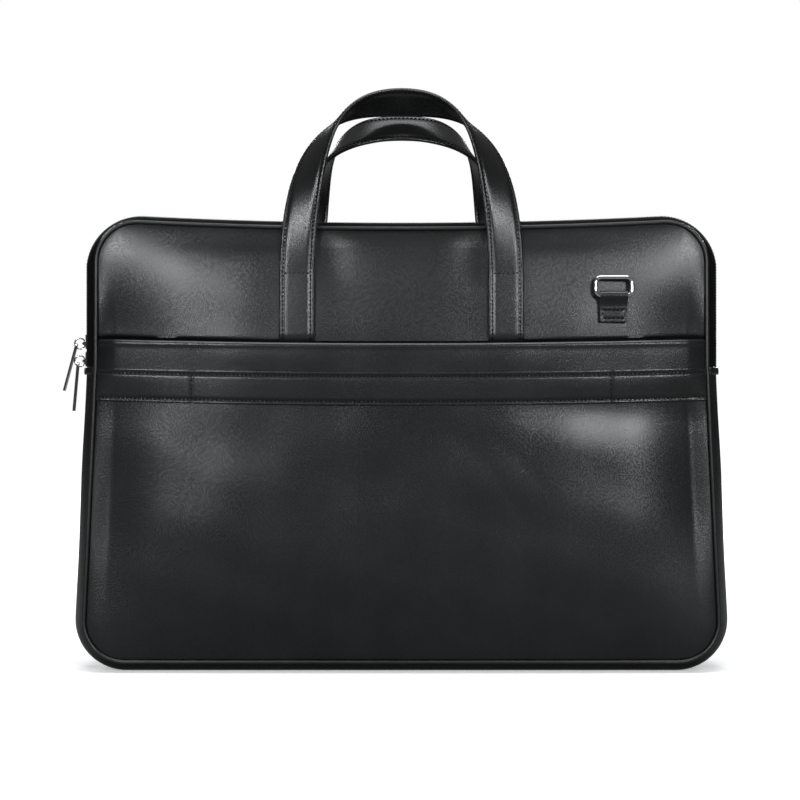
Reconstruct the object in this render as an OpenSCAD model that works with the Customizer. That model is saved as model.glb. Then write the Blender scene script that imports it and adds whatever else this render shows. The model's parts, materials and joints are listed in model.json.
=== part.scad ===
// Slim zip-around leather briefcase: a pair of folded strap handles, a slip pocket with a luggage
// band across the front, and a zip that runs over the top and a third of the way down each side.
// The origin is the centre of the base on the floor. +Z is up and the front faces -Y.

/* [Body] */
// Width of a panel between its piped edges, above the gussets
panel_w = 387; // [350:1:410]
// How much wider each side of a panel is at the base
panel_flare = 7; // [0:0.5:10]
// Height from the floor to the zip at the corners
body_h = 288; // [280:1:300]
// Depth between the two seams at the top
seam_depth_top = 44; // [42:1:50]
// Depth between the two seams at the base
seam_depth_base = 56; // [54:1:64]
// Radius of a panel's corners
corner_r = 27; // [22:1:32]
// How far the middle of a panel stands out from its seams
panel_bulge = 6; // [4:0.5:8]
// How far the side gussets stand out from the seams
side_bulge = 7.5; // [7:0.5:12]
// How far the zip stands above the top seams
top_bulge = 3.5; // [2:0.5:9]
// Height of the bottom seams above the floor
seam_low = 5.5; // [5:0.25:7]
// How far the middle of the top edge sags
top_sag = 4.2; // [0:0.1:6]
// Height at which the zip ends and the mouth starts to fold open
mouth_z = 192; // [188:1:196]

/* [Layers] */
// Thickness of the leather
leather_t = 1.4; // [1.2:0.1:1.6]
// Thickness of the padding
foam_t = 4; // [2:0.5:5]
// Thickness of the lining cloth
lining_t = 0.5; // [0.4:0.1:0.8]
// Diameter of the piping
piping_d = 2.8; // [2.4:0.1:3.2]
// Gap between soft layers
layer_gap = 0.3; // [0.2:0.05:0.4]
// Width of the hem over each end of the zip
hem_h = 3; // [2:0.5:5]
// How far the hem stands out
hem_t = 2.2; // [1.5:0.1:3]

/* [Zip] */
// Thickness of the zip's tape
tape_t = 0.8; // [0.5:0.1:1.2]
// Width of both coils together
coil_w = 4.4; // [3.6:0.2:6]
// Thickness of the coils
coil_t = 1.4; // [1.2:0.1:2]
// How far the coils stand above the tape
coil_proud = 0.3; // [0.1:0.1:0.6]
// Length of a slider
slider_len = 9; // [7:0.5:10]
// Width of a slider
slider_w = 7.2; // [6:0.2:9]
// Thickness of a slider's plate
slider_t = 0.8; // [0.6:0.1:1.2]
// Distance from one slider to the next
slider_pitch = 11.2; // [10.6:0.2:14]
// Diameter of a pull ring, outside
pull_ring_od = 7.8; // [7:0.2:8.6]
// Diameter of a pull ring's wire
pull_wire_d = 1; // [0.8:0.1:1.2]
// Length of a pull bar from its eye to its tip
pull_len = 29; // [20:1:30]
// Width of a pull bar
pull_w = 4.6; // [3.6:0.2:6]
// Thickness of a pull bar
pull_t = 1.2; // [1:0.1:1.4]
// Diameter of the hole in a pull bar's eye
pull_eye_d = 2.4; // [2.2:0.1:3]
// Height of the bail's bar above its slider's lower end
bail_z = 3.4; // [3:0.1:5]

/* [Pocket and band] */
// Height of the front pocket's top edge at the sides
pocket_z = 209.5; // [206:0.5:214]
// How much further the pocket's middle stands out than the panel behind it
pocket_room = 6; // [5.6:0.2:8]
// How far the middles of the pocket's edge and of the band droop
droop = 3; // [0:0.5:5]
// Height of the luggage band
band_h = 20.5; // [14:0.5:26]
// Thickness of the luggage band
band_t = 1.8; // [1.4:0.1:2.4]
// Height of the band's top edge below the mouth's fold
band_drop = 0.6; // [0.5:0.1:3]

/* [Handles] */
// Width of a handle strap
strap_w = 22; // [18:0.5:26]
// Thickness of a handle strap
strap_t = 3.2; // [2.8:0.1:3.4]
// Distance between the two legs of the front handle
front_spread = 130.8; // [120:0.4:140]
// Distance between the two legs of the rear handle
rear_spread = 124; // [116:0.4:132]
// Height of the stitch row where a handle folds
fold_z = 250.5; // [244:0.5:254]
// Rise of the front handle above its fold
front_rise = 109.9; // [104:0.1:120]
// Rise of the rear handle above its fold
rear_rise = 94.7; // [88:0.1:98]
// How far the top of the front handle is in front of the bag's middle
front_lean = 9; // [6:0.5:14]
// How far the top of the rear handle is in front of the bag's middle
rear_lean = 0.7; // [-3:0.1:1.4]
// Turn of the front strap from its leg to its top
front_twist = 133; // [120:1:140]
// Turn of the rear strap from its leg to its top
rear_twist = 141; // [135:1:155]
// Height of a handle's shoulders, as a share of its rise
shoulder = 0.9; // [0.7:0.02:0.9]
// How far the shoulders lean in over the feet
shoulder_in = 2.4; // [0:0.2:4]
// How far the front handle's arch is rounded in from its legs
front_round = 32; // [20:1:36]
// How far the rear handle's arch is rounded in from its legs
rear_round = 22; // [16:1:30]

/* [Strap rings] */
// Distance of a strap ring from the middle of the bag
ring_x = 132.6; // [110:0.2:145]
// Height of a ring's lower bar
ring_z = 236.2; // [232:0.2:240]
// Width of a ring, outside
ring_w = 25.4; // [24.6:0.2:30]
// Height of a ring, outside
ring_h = 14.2; // [12:0.2:16]
// Diameter of a ring's wire
ring_wire_d = 2.8; // [2.2:0.1:3]
// Radius of a ring's corners at the middle of the wire
ring_corner_r = 3.4; // [2.4:0.1:4]
// Lean of a ring towards the panel
ring_lean = 5; // [3:0.5:7]
// Width of a ring's leather tab
tab_w = 17.5; // [14:0.5:18]
// Length of a tab below its ring's lower bar
tab_drop = 16.3; // [12:0.1:18]

/* [Inside] */
// Thickness of the base board
board_t = 2.2; // [1.5:0.1:2.4]
// Thickness of the padded divider
divider_t = 5; // [3:0.5:7]
// Height of the divider's top edge
divider_z = 232; // [200:1:250]
// Place of the divider behind the bag's middle
divider_y = -2; // [-4:0.5:1]

/* [Hidden] */

leather = "#232425";
inside = "#3a3a3d";
metal = "#c9c9c6";
cloth = "#18191a";

panel_cols = 12;           // cells across a panel
inner_cols = 8;            // cells across a layer that is out of sight
arc_step = 22.5;           // degrees between the rows of a rounded corner
side_rows = 4;             // rows up the straight part of a side
strip_steps = 8;           // cells across the depth of a gusset
split = layer_gap / 2;     // half the gap where two bodies meet
fine = 48;                 // sides of a circle

piping_r = piping_d / 2;
seam_high = body_h - top_bulge;
side_w = panel_w / 2;
flare_z = seam_low + corner_r;
low_arc_z = seam_low + corner_r;
high_arc_z = seam_high - corner_r;
face_step = 0.6;           // the panel's face in front of the seam
setback = leather_t + lining_t + 2 * split + 0.1;   // room behind the pocket's edge
setback_top = pocket_z + 7;
mid_z = (seam_low + seam_high) / 2;
half_h = (seam_high - seam_low) / 2;
pillow = 4;                // power of the panel's pillow: higher is flatter
ridge = 2.2;               // power of the gusset's dome at the sides
ridge_low = 7;             // power of the gusset's dome along the base
panel_inset = piping_d + 0.15;
foam_inset = piping_d + 3.5;

// ---- Shared shapes ----

function clamp(v) = max(0, min(1, v));
function ease(v) = let (c = clamp(v)) c * c * (3 - 2 * c);
function bezier(p, t) = let (s = 1 - t)
    p[0] * s * s * s + 3 * p[1] * s * s * t + 3 * p[2] * s * t * t + p[3] * t * t * t;
function unit(v) = v / norm(v);

// Half the depth between the seams at a height
function seam_half(z) =
    (seam_depth_base + (seam_depth_top - seam_depth_base) * clamp((z - seam_low) / (2 * half_h))) / 2;
// Half the width at a height, before the corners are rounded
function side(z) = side_w + panel_flare * clamp((mouth_z - z) / (mouth_z - flare_z));
// Half the width at a height with rounded corners, inset from the outline
function edge(z, inset = 0) =
    let (r = corner_r - inset, d = max(low_arc_z - z, z - high_arc_z, 0))
    side(z) - corner_r + sqrt(max(0, r * r - d * d));
// How far the top edge sags at a place across the bag
function sag(x) = top_sag * max(0, 1 - pow(x / (side_w - corner_r), 2));
// How full the pillow of a panel is, from 0 at its edge to 1 in the middle
function fullness(x, z) =
    (1 - pow(min(1, abs(x) / edge(z)), pillow)) * (1 - pow(min(1, abs(z - mid_z) / half_h), pillow));
// Distance of each surface in front of the bag's middle plane
function back_face(x, z) = seam_half(z) + face_step + panel_bulge * fullness(x, z);
function front_face(x, z) = back_face(x, z) - setback * ease((setback_top - z) / (setback_top - pocket_z));
function pocket_face(x, z) = back_face(x, z) + pocket_room * fullness(x, z);

// Heights of the rows of a sheet, from the bottom to the top of a panel
function low_rows(inset) =
    [for (a = [0:arc_step:90]) low_arc_z - (corner_r - inset) * cos(a)];
function high_rows(inset) =
    [for (a = [0:arc_step:90]) high_arc_z + (corner_r - inset) * sin(a)];
function between(a, b, n) = [for (i = [1:n - 1]) a + (b - a) * i / n];
function whole_rows(inset) = concat(low_rows(inset),
    between(low_arc_z, high_arc_z, side_rows), high_rows(inset));
function lower_rows(inset, top = mouth_z - split) = concat(low_rows(inset),
    between(low_arc_z, top, side_rows - 1), [top]);
function upper_rows(inset) = concat([mouth_z + split, pocket_z, setback_top, ring_z],
    high_rows(inset));

// A closed solid through rings of points: each ring runs along one side and back along the other,
// and the cells of both sides are cut along the same diagonal, so that stacked sheets stay parallel
module loft(rings, closed = false) {
    n = len(rings[0]);
    m = len(rings);
    z = (m - 1) * n;
    walls = [for (i = [0:m - (closed ? 1 : 2)], j = [0:n - 1])
        let (a = i * n, b = (i + 1) % m * n, k = (j + 1) % n)
        each j < n / 2 ? [[a + j, b + k, a + k], [a + j, b + j, b + k]]
            : [[a + j, b + j, a + k], [a + k, b + j, b + k]]];
    ends = closed ? [] : [for (j = [0:n / 2 - 2]) let (k = n - 1 - j)
        each [[j + 1, k, j], [j + 1, k - 1, k], [z + j, z + k, z + j + 1],
            [z + j + 1, z + k, z + k - 1]]];
    polyhedron([for (r = rings) each r], concat(walls, ends));
}

// A curved sheet that faces the front: rows of heights, and its outer and inner surfaces
module sheet(rows, inset, outer, inner, cols = panel_cols, fall = function(x, z) 0) {
    across = [for (i = [0:cols]) sin(90 * (2 * i / cols - 1))];
    loft([for (z = rows) let (w = edge(z, inset)) concat(
        [for (u = across) let (x = u * w, h = z - fall(x, z)) [x, -outer(x, z), h]],
        [for (i = [cols:-1:0]) let (x = across[i] * w, h = z - fall(x, z)) [x, -inner(x, z), h]])]);
}

// How far a point of the mouth falls where the top edge sags
function mouth_fall(x, z) = sag(x) * clamp((z - mouth_z) / (seam_high - mouth_z));

// The outline that the seams follow, as places with their outward direction: [x, z, nx, nz]
function arc_places(cz, from, to) = [for (a = [from:(to - from) / round(abs(to - from) / arc_step):to])
    [side(cz) - corner_r + corner_r * cos(a), cz + corner_r * sin(a), cos(a), sin(a)]];
function mirrored(half) = [for (i = [len(half) - 1:-1:0])
    let (s = half[i]) if (s[0] > 0.001) [-s[0], s[1], -s[2], s[3]]];
function mouth_half(from = mouth_z + split) = concat(
    [for (z = concat([from], between(from, high_arc_z, side_rows - 1))) [side(z), z, 1, 0]],
    arc_places(high_arc_z, 0, 90),
    [for (u = [0.75, 0.5, 0.25, 0]) let (x = u * (side_w - corner_r)) [x, seam_high - sag(x), 0, 1]]);
function base_half(top) = concat(
    [for (z = concat([top], between(top, low_arc_z, side_rows))) [side(z), z, 1, 0]],
    arc_places(low_arc_z, 0, -90));
mouth_path = concat(mouth_half(), mirrored(mouth_half()));
base_path = concat(base_half(mouth_z - split), mirrored(base_half(mouth_z - split)));

// How far the gusset and zip stand out from the seams at a place, and how sharp their ridge is
function rise(s) = s[3] > 0 ? side_bulge + (top_bulge - side_bulge) * s[3]
    : side_bulge + (seam_low - side_bulge) * -s[3];
function power(s) = s[3] > 0 ? ridge : ridge + (ridge_low - ridge) * -s[3];
function gusset_edge(s) = seam_half(s[1]) - piping_r - split;
function dome(s, y, top, power) =
    -piping_r / 2 + (top + piping_r / 2) * (1 - pow(min(1, abs(y) / gusset_edge(s)), power));
function at(s, out, y) = [s[0] + s[2] * out, y, s[1] + s[3] * out];

// One ring of a strip that spans the depth between two places from y0 to y1
function strip(s, y0, y1, top, under, thick, steps, power = ridge) = concat(
    [for (i = [0:steps]) let (y = y0 + (y1 - y0) * i / steps)
        at(s, dome(s, y, top, power) - under, y)],
    [for (i = [steps:-1:0]) let (y = y0 + (y1 - y0) * i / steps)
        at(s, dome(s, y, top, power) - under - thick, y)]);
function whole_strip(s, edge, top, under, thick, power = ridge) =
    strip(s, -edge, edge, top, under, thick, strip_steps, power);

// A bead of piping along the seam of the front
module piping(places, closed = false) {
    loft([for (s = places) [for (i = [0:5])
        at(s, -piping_r + piping_r * cos(60 * i), -seam_half(s[1]) + piping_r * sin(60 * i))]], closed);
}

module front_to_back() mirror([0, 1, 0]) children();

// ---- Panels, padding and lining ----

module panel(rows, face, fall = function(x, z) 0)
    sheet(rows, panel_inset, face, function(x, z) face(x, z) - leather_t, fall = fall);
foam_under = leather_t + layer_gap;
module foam(rows, face, fall = function(x, z) 0)
    sheet(rows, foam_inset, function(x, z) face(x, z) - foam_under,
        function(x, z) face(x, z) - foam_under - foam_t, inner_cols, fall);
lining_under = foam_under + foam_t + layer_gap;
module lining(rows, face, fall = function(x, z) 0)
    sheet(rows, foam_inset, function(x, z) face(x, z) - lining_under,
        function(x, z) face(x, z) - lining_under - lining_t, inner_cols, fall);

module back_panel() color(leather) front_to_back()
    panel(whole_rows(panel_inset), back_face_at, mouth_fall_at);
module back_foam() color(inside) front_to_back()
    foam(whole_rows(foam_inset), back_face_at, mouth_fall_at);
module back_lining() color(cloth) front_to_back()
    lining(whole_rows(foam_inset), back_face_at, mouth_fall_at);
module back_piping() color(leather) front_to_back()
    piping(concat(mouth_path, [for (i = [len(base_path) - 1:-1:0]) base_path[i]]), true);

back_face_at = function(x, z) back_face(x, z);
front_face_at = function(x, z) front_face(x, z);
mouth_fall_at = function(x, z) mouth_fall(x, z);

module front_panel_lower() color(leather) panel(lower_rows(panel_inset), front_face_at);
module front_foam_lower() color(inside) foam(lower_rows(foam_inset), front_face_at);
module front_lining_lower() color(cloth) lining(lower_rows(foam_inset), front_face_at);
module front_piping_lower() color(leather) piping(base_path);
module front_panel_upper() color(leather)
    panel(upper_rows(panel_inset), front_face_at, mouth_fall_at);
module front_foam_upper() color(inside)
    foam(upper_rows(foam_inset), front_face_at, mouth_fall_at);
module front_lining_upper() color(cloth)
    lining(upper_rows(foam_inset), front_face_at, mouth_fall_at);
module front_piping_upper() color(leather) piping(mouth_path);

// ---- Gussets and base ----

module gusset_half() {
    loft([for (s = base_half(mouth_z - split)) whole_strip(s, gusset_edge(s), rise(s), 0, leather_t, power(s))]);
}
module right_gusset() color(leather) gusset_half();
module left_gusset() color(leather) mirror([1, 0, 0]) gusset_half();

base_len = 2 * (side(low_arc_z) - corner_r) - 2 * split;
base_place = [0, seam_low, 0, -1];
module base_gusset() color(leather)
    translate([-base_len / 2, 0, 0]) rotate([90, 0, 90]) linear_extrude(base_len) {
        d = gusset_edge(base_place);
        flat = d * 0.72;
        polygon([[-flat, 0], [flat, 0], [d, seam_low * 0.6], [d, seam_low],
            [d - leather_t, seam_low], [flat, leather_t], [-flat, leather_t],
            [leather_t - d, seam_low], [-d, seam_low],
            [-d, seam_low * 0.6]]);
    }

board_z = leather_t + split;
board_y = gusset_edge(base_place) * 0.72 - 2;
module base_board() color(inside) translate([-base_len / 2 + 4, -board_y, board_z])
    cube([base_len - 8, 2 * board_y, board_t]);

// The lining lies inside the gussets, and over the board along the base
lining_floor = board_z + board_t + layer_gap;
module gusset_lining() color(cloth)
    loft([for (s = base_path) let (down = max(0, -s[3]))
        whole_strip(s, gusset_edge(s) - leather_t - layer_gap,
            rise(s) + (seam_low - lining_floor - rise(s)) * down,
            (leather_t + layer_gap) * (1 - down), lining_t)]);

// A folded hem across the top of each gusset, over the end of the zip
module hem() {
    loft([for (z = [mouth_z - split, mouth_z - split - hem_h]) let (s = [side(z), z, 1, 0])
        whole_strip(s, gusset_edge(s), rise(s), -split - hem_t, hem_t)]);
}
module zip_end_hems() color(leather) {
    hem();
    mirror([1, 0, 0]) hem();
}

// ---- Zip ----

module zip_tape() color(cloth) loft([for (s = mouth_path)
    strip(s, coil_w / 2 + 0.1, gusset_edge(s), rise(s), 0, tape_t, 4)]);
module zip_coil() color(cloth) loft([for (s = mouth_path)
    strip(s, split, coil_w / 2, rise(s), -coil_proud, coil_t, 1)]);
module back_zip_tape() zip_tape();
module back_zip_coil() zip_coil();
module front_zip_tape() front_to_back() zip_tape();
module front_zip_coil() front_to_back() zip_coil();

// ---- Pocket and luggage band ----

function pocket_fall(x, z) = droop * (1 - pow(min(1, abs(x) / edge(z)), 2))
    * clamp((z - mouth_z) / (pocket_z - mouth_z));
pocket_face_at = function(x, z) pocket_face(x, z);
pocket_back_at = function(x, z) pocket_face(x, z) - leather_t;

module pocket_panel() color(leather)
    sheet(lower_rows(panel_inset), panel_inset, pocket_face_at, pocket_back_at);
module pocket_lining() color(cloth)
    sheet(lower_rows(panel_inset), panel_inset, function(x, z) pocket_face(x, z) - leather_t - split,
        function(x, z) pocket_face(x, z) - leather_t - split - lining_t);
// The pocket's folded edge, above the fold of the mouth
module pocket_top() color(leather)
    sheet([mouth_z + split, (mouth_z + pocket_z) / 2, pocket_z], panel_inset, pocket_face_at,
        pocket_back_at, fall = function(x, z) pocket_fall(x, z));

function band_fall(x, z) = droop * (1 - pow(min(1, abs(x) / edge(z)), 2));
band_top = mouth_z - band_drop;
module luggage_band() color(leather)
    sheet([band_top - band_h, band_top - band_h / 2, band_top], panel_inset,
        function(x, z) pocket_face(x, z) + layer_gap + band_t,
        function(x, z) pocket_face(x, z) + layer_gap, fall = function(x, z) band_fall(x, z));

// ---- Divider ----

divider_bottom = lining_floor + lining_t + layer_gap;
binding_t = 1.2;
binding_h = 9;
module divider_plate(thick, from, to) translate([0, divider_y + thick / 2, 0]) rotate([90, 0, 0])
    linear_extrude(thick) polygon(concat(
        [for (z = from) [edge(z, foam_inset), z], [side_w - foam_inset, to]],
        [[-side_w + foam_inset, to]],
        [for (i = [len(from) - 1:-1:0]) [-edge(from[i], foam_inset), from[i]]]));
divider_rows = concat([for (a = [20:17.5:90]) low_arc_z - (corner_r - foam_inset) * cos(a)],
    [mouth_z]);
module laptop_divider() color(inside)
    divider_plate(divider_t, concat([divider_bottom], divider_rows), divider_z);
// A leather binding folded over the divider's top edge
module divider_binding() color(leather)
    translate([-side_w + foam_inset + 2, divider_y, divider_z]) rotate([90, 0, 90])
        linear_extrude(2 * (side_w - foam_inset - 2)) difference() {
            w = divider_t / 2 + layer_gap;
            translate([-w - binding_t, -binding_h])
                square([2 * (w + binding_t), binding_h + layer_gap + binding_t]);
            translate([-w, -binding_h - 1]) square([2 * w, binding_h + 1 + layer_gap]);
        }

// ---- Handles ----

// A handle's strap from its fold to the middle of its arch, as the rings of one half.
// foot is where the strap lies on its panel, lean is how far forward the top is.
function strap_ring(path, t, twist, turned) =
    let (
        p = bezier(path, t),
        along = unit(bezier(path, min(1, t + 0.01)) - bezier(path, t - (t > 0.99 ? 0.01 : 0))),
        way = t > 0.999 ? [-1, 0, 0] : along,
        ahead = unit([0, -1, 0] - (-way[1]) * way),
        turn = twist * ease(t / turned) ^ 0.85,
        wide = cos(turn) * cross(ahead, way) + sin(turn) * ahead,
        deep = cross(wide, way)
    )
    [for (c = [[-1, -1], [-1, 1], [1, 1], [1, -1]])
        p + wide * c[0] * strap_w / 2 + deep * c[1] * strap_t / 2];
handle_steps = 14;
module strap_handle(path, twist, turned) {
    half = [for (i = [0:handle_steps]) strap_ring(path, i / handle_steps, twist, turned)];
    loft(concat(half, [for (i = [handle_steps - 1:-1:0]) [for (q = half[i]) [-q[0], q[1], q[2]]]]));
}
function foot_y(x, z) = back_face(x, z) + layer_gap / 2 + strap_t / 2;
function handle_path(spread, top, lean, round) =
    let (x = spread / 2, y = -foot_y(spread / 2, fold_z), z = fold_z + layer_gap)
    [[x, y, z], [x - shoulder_in, y, z + shoulder * (top - fold_z)], [x - round, lean, top], [0, lean, top]];
front_top = fold_z + front_rise;
rear_top = fold_z + rear_rise;
module front_handle() color(leather)
    strap_handle(handle_path(front_spread, front_top, -front_lean, front_round), front_twist, 1);
module rear_handle() color(leather)
    front_to_back() strap_handle(handle_path(rear_spread, rear_top, rear_lean, rear_round), rear_twist, 0.85);

// The sewn ends of a strap, flat on the panel below the fold
anchor_z = mouth_z + 4;
module strap_anchors(spread, face) {
    fall = mouth_fall(spread / 2, fold_z);
    rows = [anchor_z, pocket_z, setback_top, ring_z, fold_z - split + fall];
    for (side = [-1, 1]) loft([for (z = rows)
        let (x = side * spread / 2, w = strap_w / 2, y = face(x, z) + layer_gap / 2,
            h = min(fold_z - split, z - mouth_fall(x, z)))
        [[x - w, -y - strap_t, h], [x + w, -y - strap_t, h], [x + w, -y, h], [x - w, -y, h]]]);
}
module front_handle_anchors() color(leather) strap_anchors(front_spread, front_face_at);
module rear_handle_anchors() color(leather)
    front_to_back() strap_anchors(rear_spread, back_face_at);

// ---- Strap rings and their tabs ----

ring_r = ring_wire_d / 2;
bar_gap = 0.15;            // clearance round a bar or wire
tab_layer = leather_t;
tab_back = back_face(ring_x - tab_w / 2, ring_z - tab_drop) + 0.2;
bar_y = tab_back + tab_layer + bar_gap + ring_r;

// A leather strip folded over the ring's lower bar, with both layers sewn down below it
module ring_tab() color(leather)
    translate([ring_x - tab_w / 2, 0, 0]) rotate([90, 0, 90]) linear_extrude(tab_w) difference() {
        union() {
            translate([-bar_y, ring_z]) circle(ring_r + bar_gap + tab_layer, $fn = fine);
            translate([-tab_back - 2 * tab_layer, ring_z - tab_drop])
                square([2 * tab_layer, tab_drop]);
        }
        translate([-bar_y, ring_z]) circle(ring_r + bar_gap, $fn = fine);
    }
module strap_ring_solid() color(metal) translate([ring_x, -bar_y, ring_z]) rotate([-ring_lean, 0, 0]) {
    w = ring_w / 2 - ring_r;
    h = ring_h - ring_wire_d;
    r = ring_corner_r;
    for (z = [0, h]) translate([r - w, 0, z]) rotate([0, 90, 0])
        cylinder(h = 2 * (w - r), r = ring_r, $fn = fine);
    for (x = [-w, w]) translate([x, 0, r]) cylinder(h = h - 2 * r, r = ring_r, $fn = fine);
    for (c = [[w - r, h - r, 0], [r - w, h - r, 90], [r - w, r, 180], [w - r, r, 270]])
        translate([c[0], 0, c[1]]) rotate([90, -c[2], 0])
            rotate_extrude(angle = 90, $fn = fine) translate([r, 0]) circle(ring_r, $fn = fine);
}
module front_ring_tab() ring_tab();
module front_strap_ring() strap_ring_solid();
module rear_ring_tab() rotate([0, 0, 180]) ring_tab();
module rear_strap_ring() rotate([0, 0, 180]) strap_ring_solid();

// ---- Sliders, pull rings and pulls, at the left end of the zip ----

plate_x = side(mouth_z) + side_bulge + coil_proud + 0.15;
pull_r = pull_wire_d / 2;
bail_r = 0.5;
bail_x = plate_x + slider_t + pull_wire_d + 2 * bar_gap + bail_r;
lower_slider_z = mouth_z + 0.6;
upper_slider_z = lower_slider_z + slider_pitch;
loop_r = pull_ring_od / 2 - pull_r;         // middle of a pull ring's wire
loop_x = plate_x + slider_t + bar_gap + pull_ring_od / 2;

module slider(z) color(metal) {
    translate([-plate_x - slider_t, -slider_w / 2, z]) cube([slider_t, slider_w, slider_len]);
    translate([-bail_x, 0, z + bail_z]) rotate([90, 0, 0])
        cylinder(h = slider_w - 2, r = bail_r, center = true, $fn = fine);
    for (y = [-1, 1]) translate([-bail_x, y * (slider_w / 2 - 1.5) - bail_r, z + bail_z - 1])
        cube([bail_x - plate_x - slider_t / 2, 2 * bail_r, 2]);
}
module lower_slider() slider(lower_slider_z);
module upper_slider() slider(upper_slider_z);

module pull_ring(z) color(metal) translate([-loop_x, 0, z + bail_z]) rotate([90, 0, 0])
    rotate_extrude($fn = fine) translate([loop_r, 0]) circle(pull_r, $fn = fine);
module lower_pull_ring() pull_ring(lower_slider_z);
module upper_pull_ring() pull_ring(upper_slider_z);

eye_r = pull_eye_d / 2;
// A flat bar with an eye round the ring's wire: where it hangs on the ring, and its own tilt
module pull(z, place, tilt) color(metal)
    translate([-loop_x - loop_r * sin(place), 0, z + bail_z - loop_r * cos(place)])
        rotate([0, tilt, 0]) difference() {
            union() {
                rotate([0, 90, 0]) cylinder(h = pull_t, r = pull_w / 2, center = true, $fn = fine);
                translate([-pull_t / 2, -pull_w / 2, -pull_len]) cube([pull_t, pull_w, pull_len]);
            }
            rotate([0, 90, 0]) cylinder(h = 3 * pull_t, r = eye_r, center = true, $fn = fine);
        }
lower_place = 24;          // degrees round the ring from its lowest point
upper_place = 50;
lower_tilt = 5;            // lean of a hanging pull away from the bag
upper_tilt = 15;
module lower_pull() pull(lower_slider_z, lower_place, lower_tilt);
module upper_pull() pull(upper_slider_z, upper_place, upper_tilt);

back_panel();
back_foam();
back_lining();
back_piping();
front_panel_lower();
front_foam_lower();
front_lining_lower();
front_piping_lower();
left_gusset();
right_gusset();
base_gusset();
base_board();
gusset_lining();
zip_end_hems();
back_zip_tape();
back_zip_coil();
pocket_panel();
pocket_lining();
luggage_band();
laptop_divider();
divider_binding();
rear_handle_anchors();
rear_ring_tab();
front_panel_upper();
front_foam_upper();
front_lining_upper();
front_piping_upper();
front_zip_tape();
front_zip_coil();
pocket_top();
front_handle_anchors();
front_ring_tab();
front_handle();
rear_handle();
front_strap_ring();
rear_strap_ring();
lower_slider();
upper_slider();
lower_pull_ring();
upper_pull_ring();
lower_pull();
upper_pull();
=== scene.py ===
"""A slim zip-around leather briefcase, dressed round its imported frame.

Each sub-assembly is a class that takes its places from the frame's boxes, models its pieces and
dresses them. Everything is in metres, in the frame's own axes: +Z up, the front faces -Y.
"""

import json
import logging
import math
from dataclasses import dataclass
from enum import Enum
from typing import Callable, Sequence

import bpy
import numpy as np
from mathutils import Matrix, Vector

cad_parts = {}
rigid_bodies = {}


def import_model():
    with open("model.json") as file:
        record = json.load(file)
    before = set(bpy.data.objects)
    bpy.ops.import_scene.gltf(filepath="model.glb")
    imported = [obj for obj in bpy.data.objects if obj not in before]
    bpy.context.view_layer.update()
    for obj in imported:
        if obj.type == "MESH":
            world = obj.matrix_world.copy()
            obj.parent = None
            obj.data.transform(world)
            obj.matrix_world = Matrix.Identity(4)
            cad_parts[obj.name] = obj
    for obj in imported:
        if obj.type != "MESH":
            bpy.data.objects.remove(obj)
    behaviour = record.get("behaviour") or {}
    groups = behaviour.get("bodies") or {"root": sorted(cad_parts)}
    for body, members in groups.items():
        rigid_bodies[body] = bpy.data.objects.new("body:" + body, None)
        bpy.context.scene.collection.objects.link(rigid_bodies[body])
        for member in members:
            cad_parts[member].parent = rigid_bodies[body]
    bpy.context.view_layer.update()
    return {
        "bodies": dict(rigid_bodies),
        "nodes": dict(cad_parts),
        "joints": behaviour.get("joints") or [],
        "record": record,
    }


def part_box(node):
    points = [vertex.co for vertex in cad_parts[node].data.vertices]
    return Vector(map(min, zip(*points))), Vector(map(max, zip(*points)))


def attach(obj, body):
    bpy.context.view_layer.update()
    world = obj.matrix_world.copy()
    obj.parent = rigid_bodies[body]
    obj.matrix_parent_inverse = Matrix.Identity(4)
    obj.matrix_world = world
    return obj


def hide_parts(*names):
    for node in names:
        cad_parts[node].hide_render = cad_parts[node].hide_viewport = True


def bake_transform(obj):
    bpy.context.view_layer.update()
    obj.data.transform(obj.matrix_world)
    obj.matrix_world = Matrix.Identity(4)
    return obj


log = logging.getLogger("briefcase")
Array = np.ndarray
Shape = Callable[[Array, Array], Array]

MIDDLE = (0.0, 0.0, 0.14)       # a point inside the bag that every outer face looks away from
BASE_MIDDLE = (0.0, 0.0, 0.10)  # the same for the gusset, which ends below the mouth
SEAM_GAP = 0.0003               # between a gusset's or tape's edge and the seam
CORNER_SAVING = 0.43            # what a round corner saves of a square one's run, in radii
STITCH_W = 0.0011               # a stitch's width
STITCH_T = 0.0009               # and its height
BAND_SCALE = 0.314              # a wave texture's scale for bands one metre apart


class Side(Enum):
    """The two faces of the bag: each holds the sign of its direction along Y."""

    FRONT = -1
    BACK = 1


# ---------------------------------------------------------------- shader maths


class Link:
    """A shader socket with arithmetic: every expression on it adds its own Math nodes."""

    def __init__(self, graph: "Graph", node: bpy.types.Node, output: object) -> None:
        """Wraps one output of a node, or a node without outputs.

        Args:
            graph: the graph that the node is in.
            node: the node.
            output: the name or number of its output.
        """
        self.graph = graph
        self.node = node
        self.socket = node.outputs[output] if len(node.outputs) else None

    def _math(self, operation: str, first: object, second: object) -> "Link":
        """Adds one Math node for an operation on two values or links."""
        return self.graph.add("ShaderNodeMath", {"operation": operation}, {0: first, 1: second})

    def __add__(self, other: object) -> "Link":
        """self + other."""
        return self._math("ADD", self, other)

    __radd__ = __add__

    def __mul__(self, other: object) -> "Link":
        """self * other."""
        return self._math("MULTIPLY", self, other)

    __rmul__ = __mul__

    def __sub__(self, other: object) -> "Link":
        """self - other."""
        return self._math("SUBTRACT", self, other)

    def __rsub__(self, other: object) -> "Link":
        """other - self."""
        return self._math("SUBTRACT", other, self)


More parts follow.
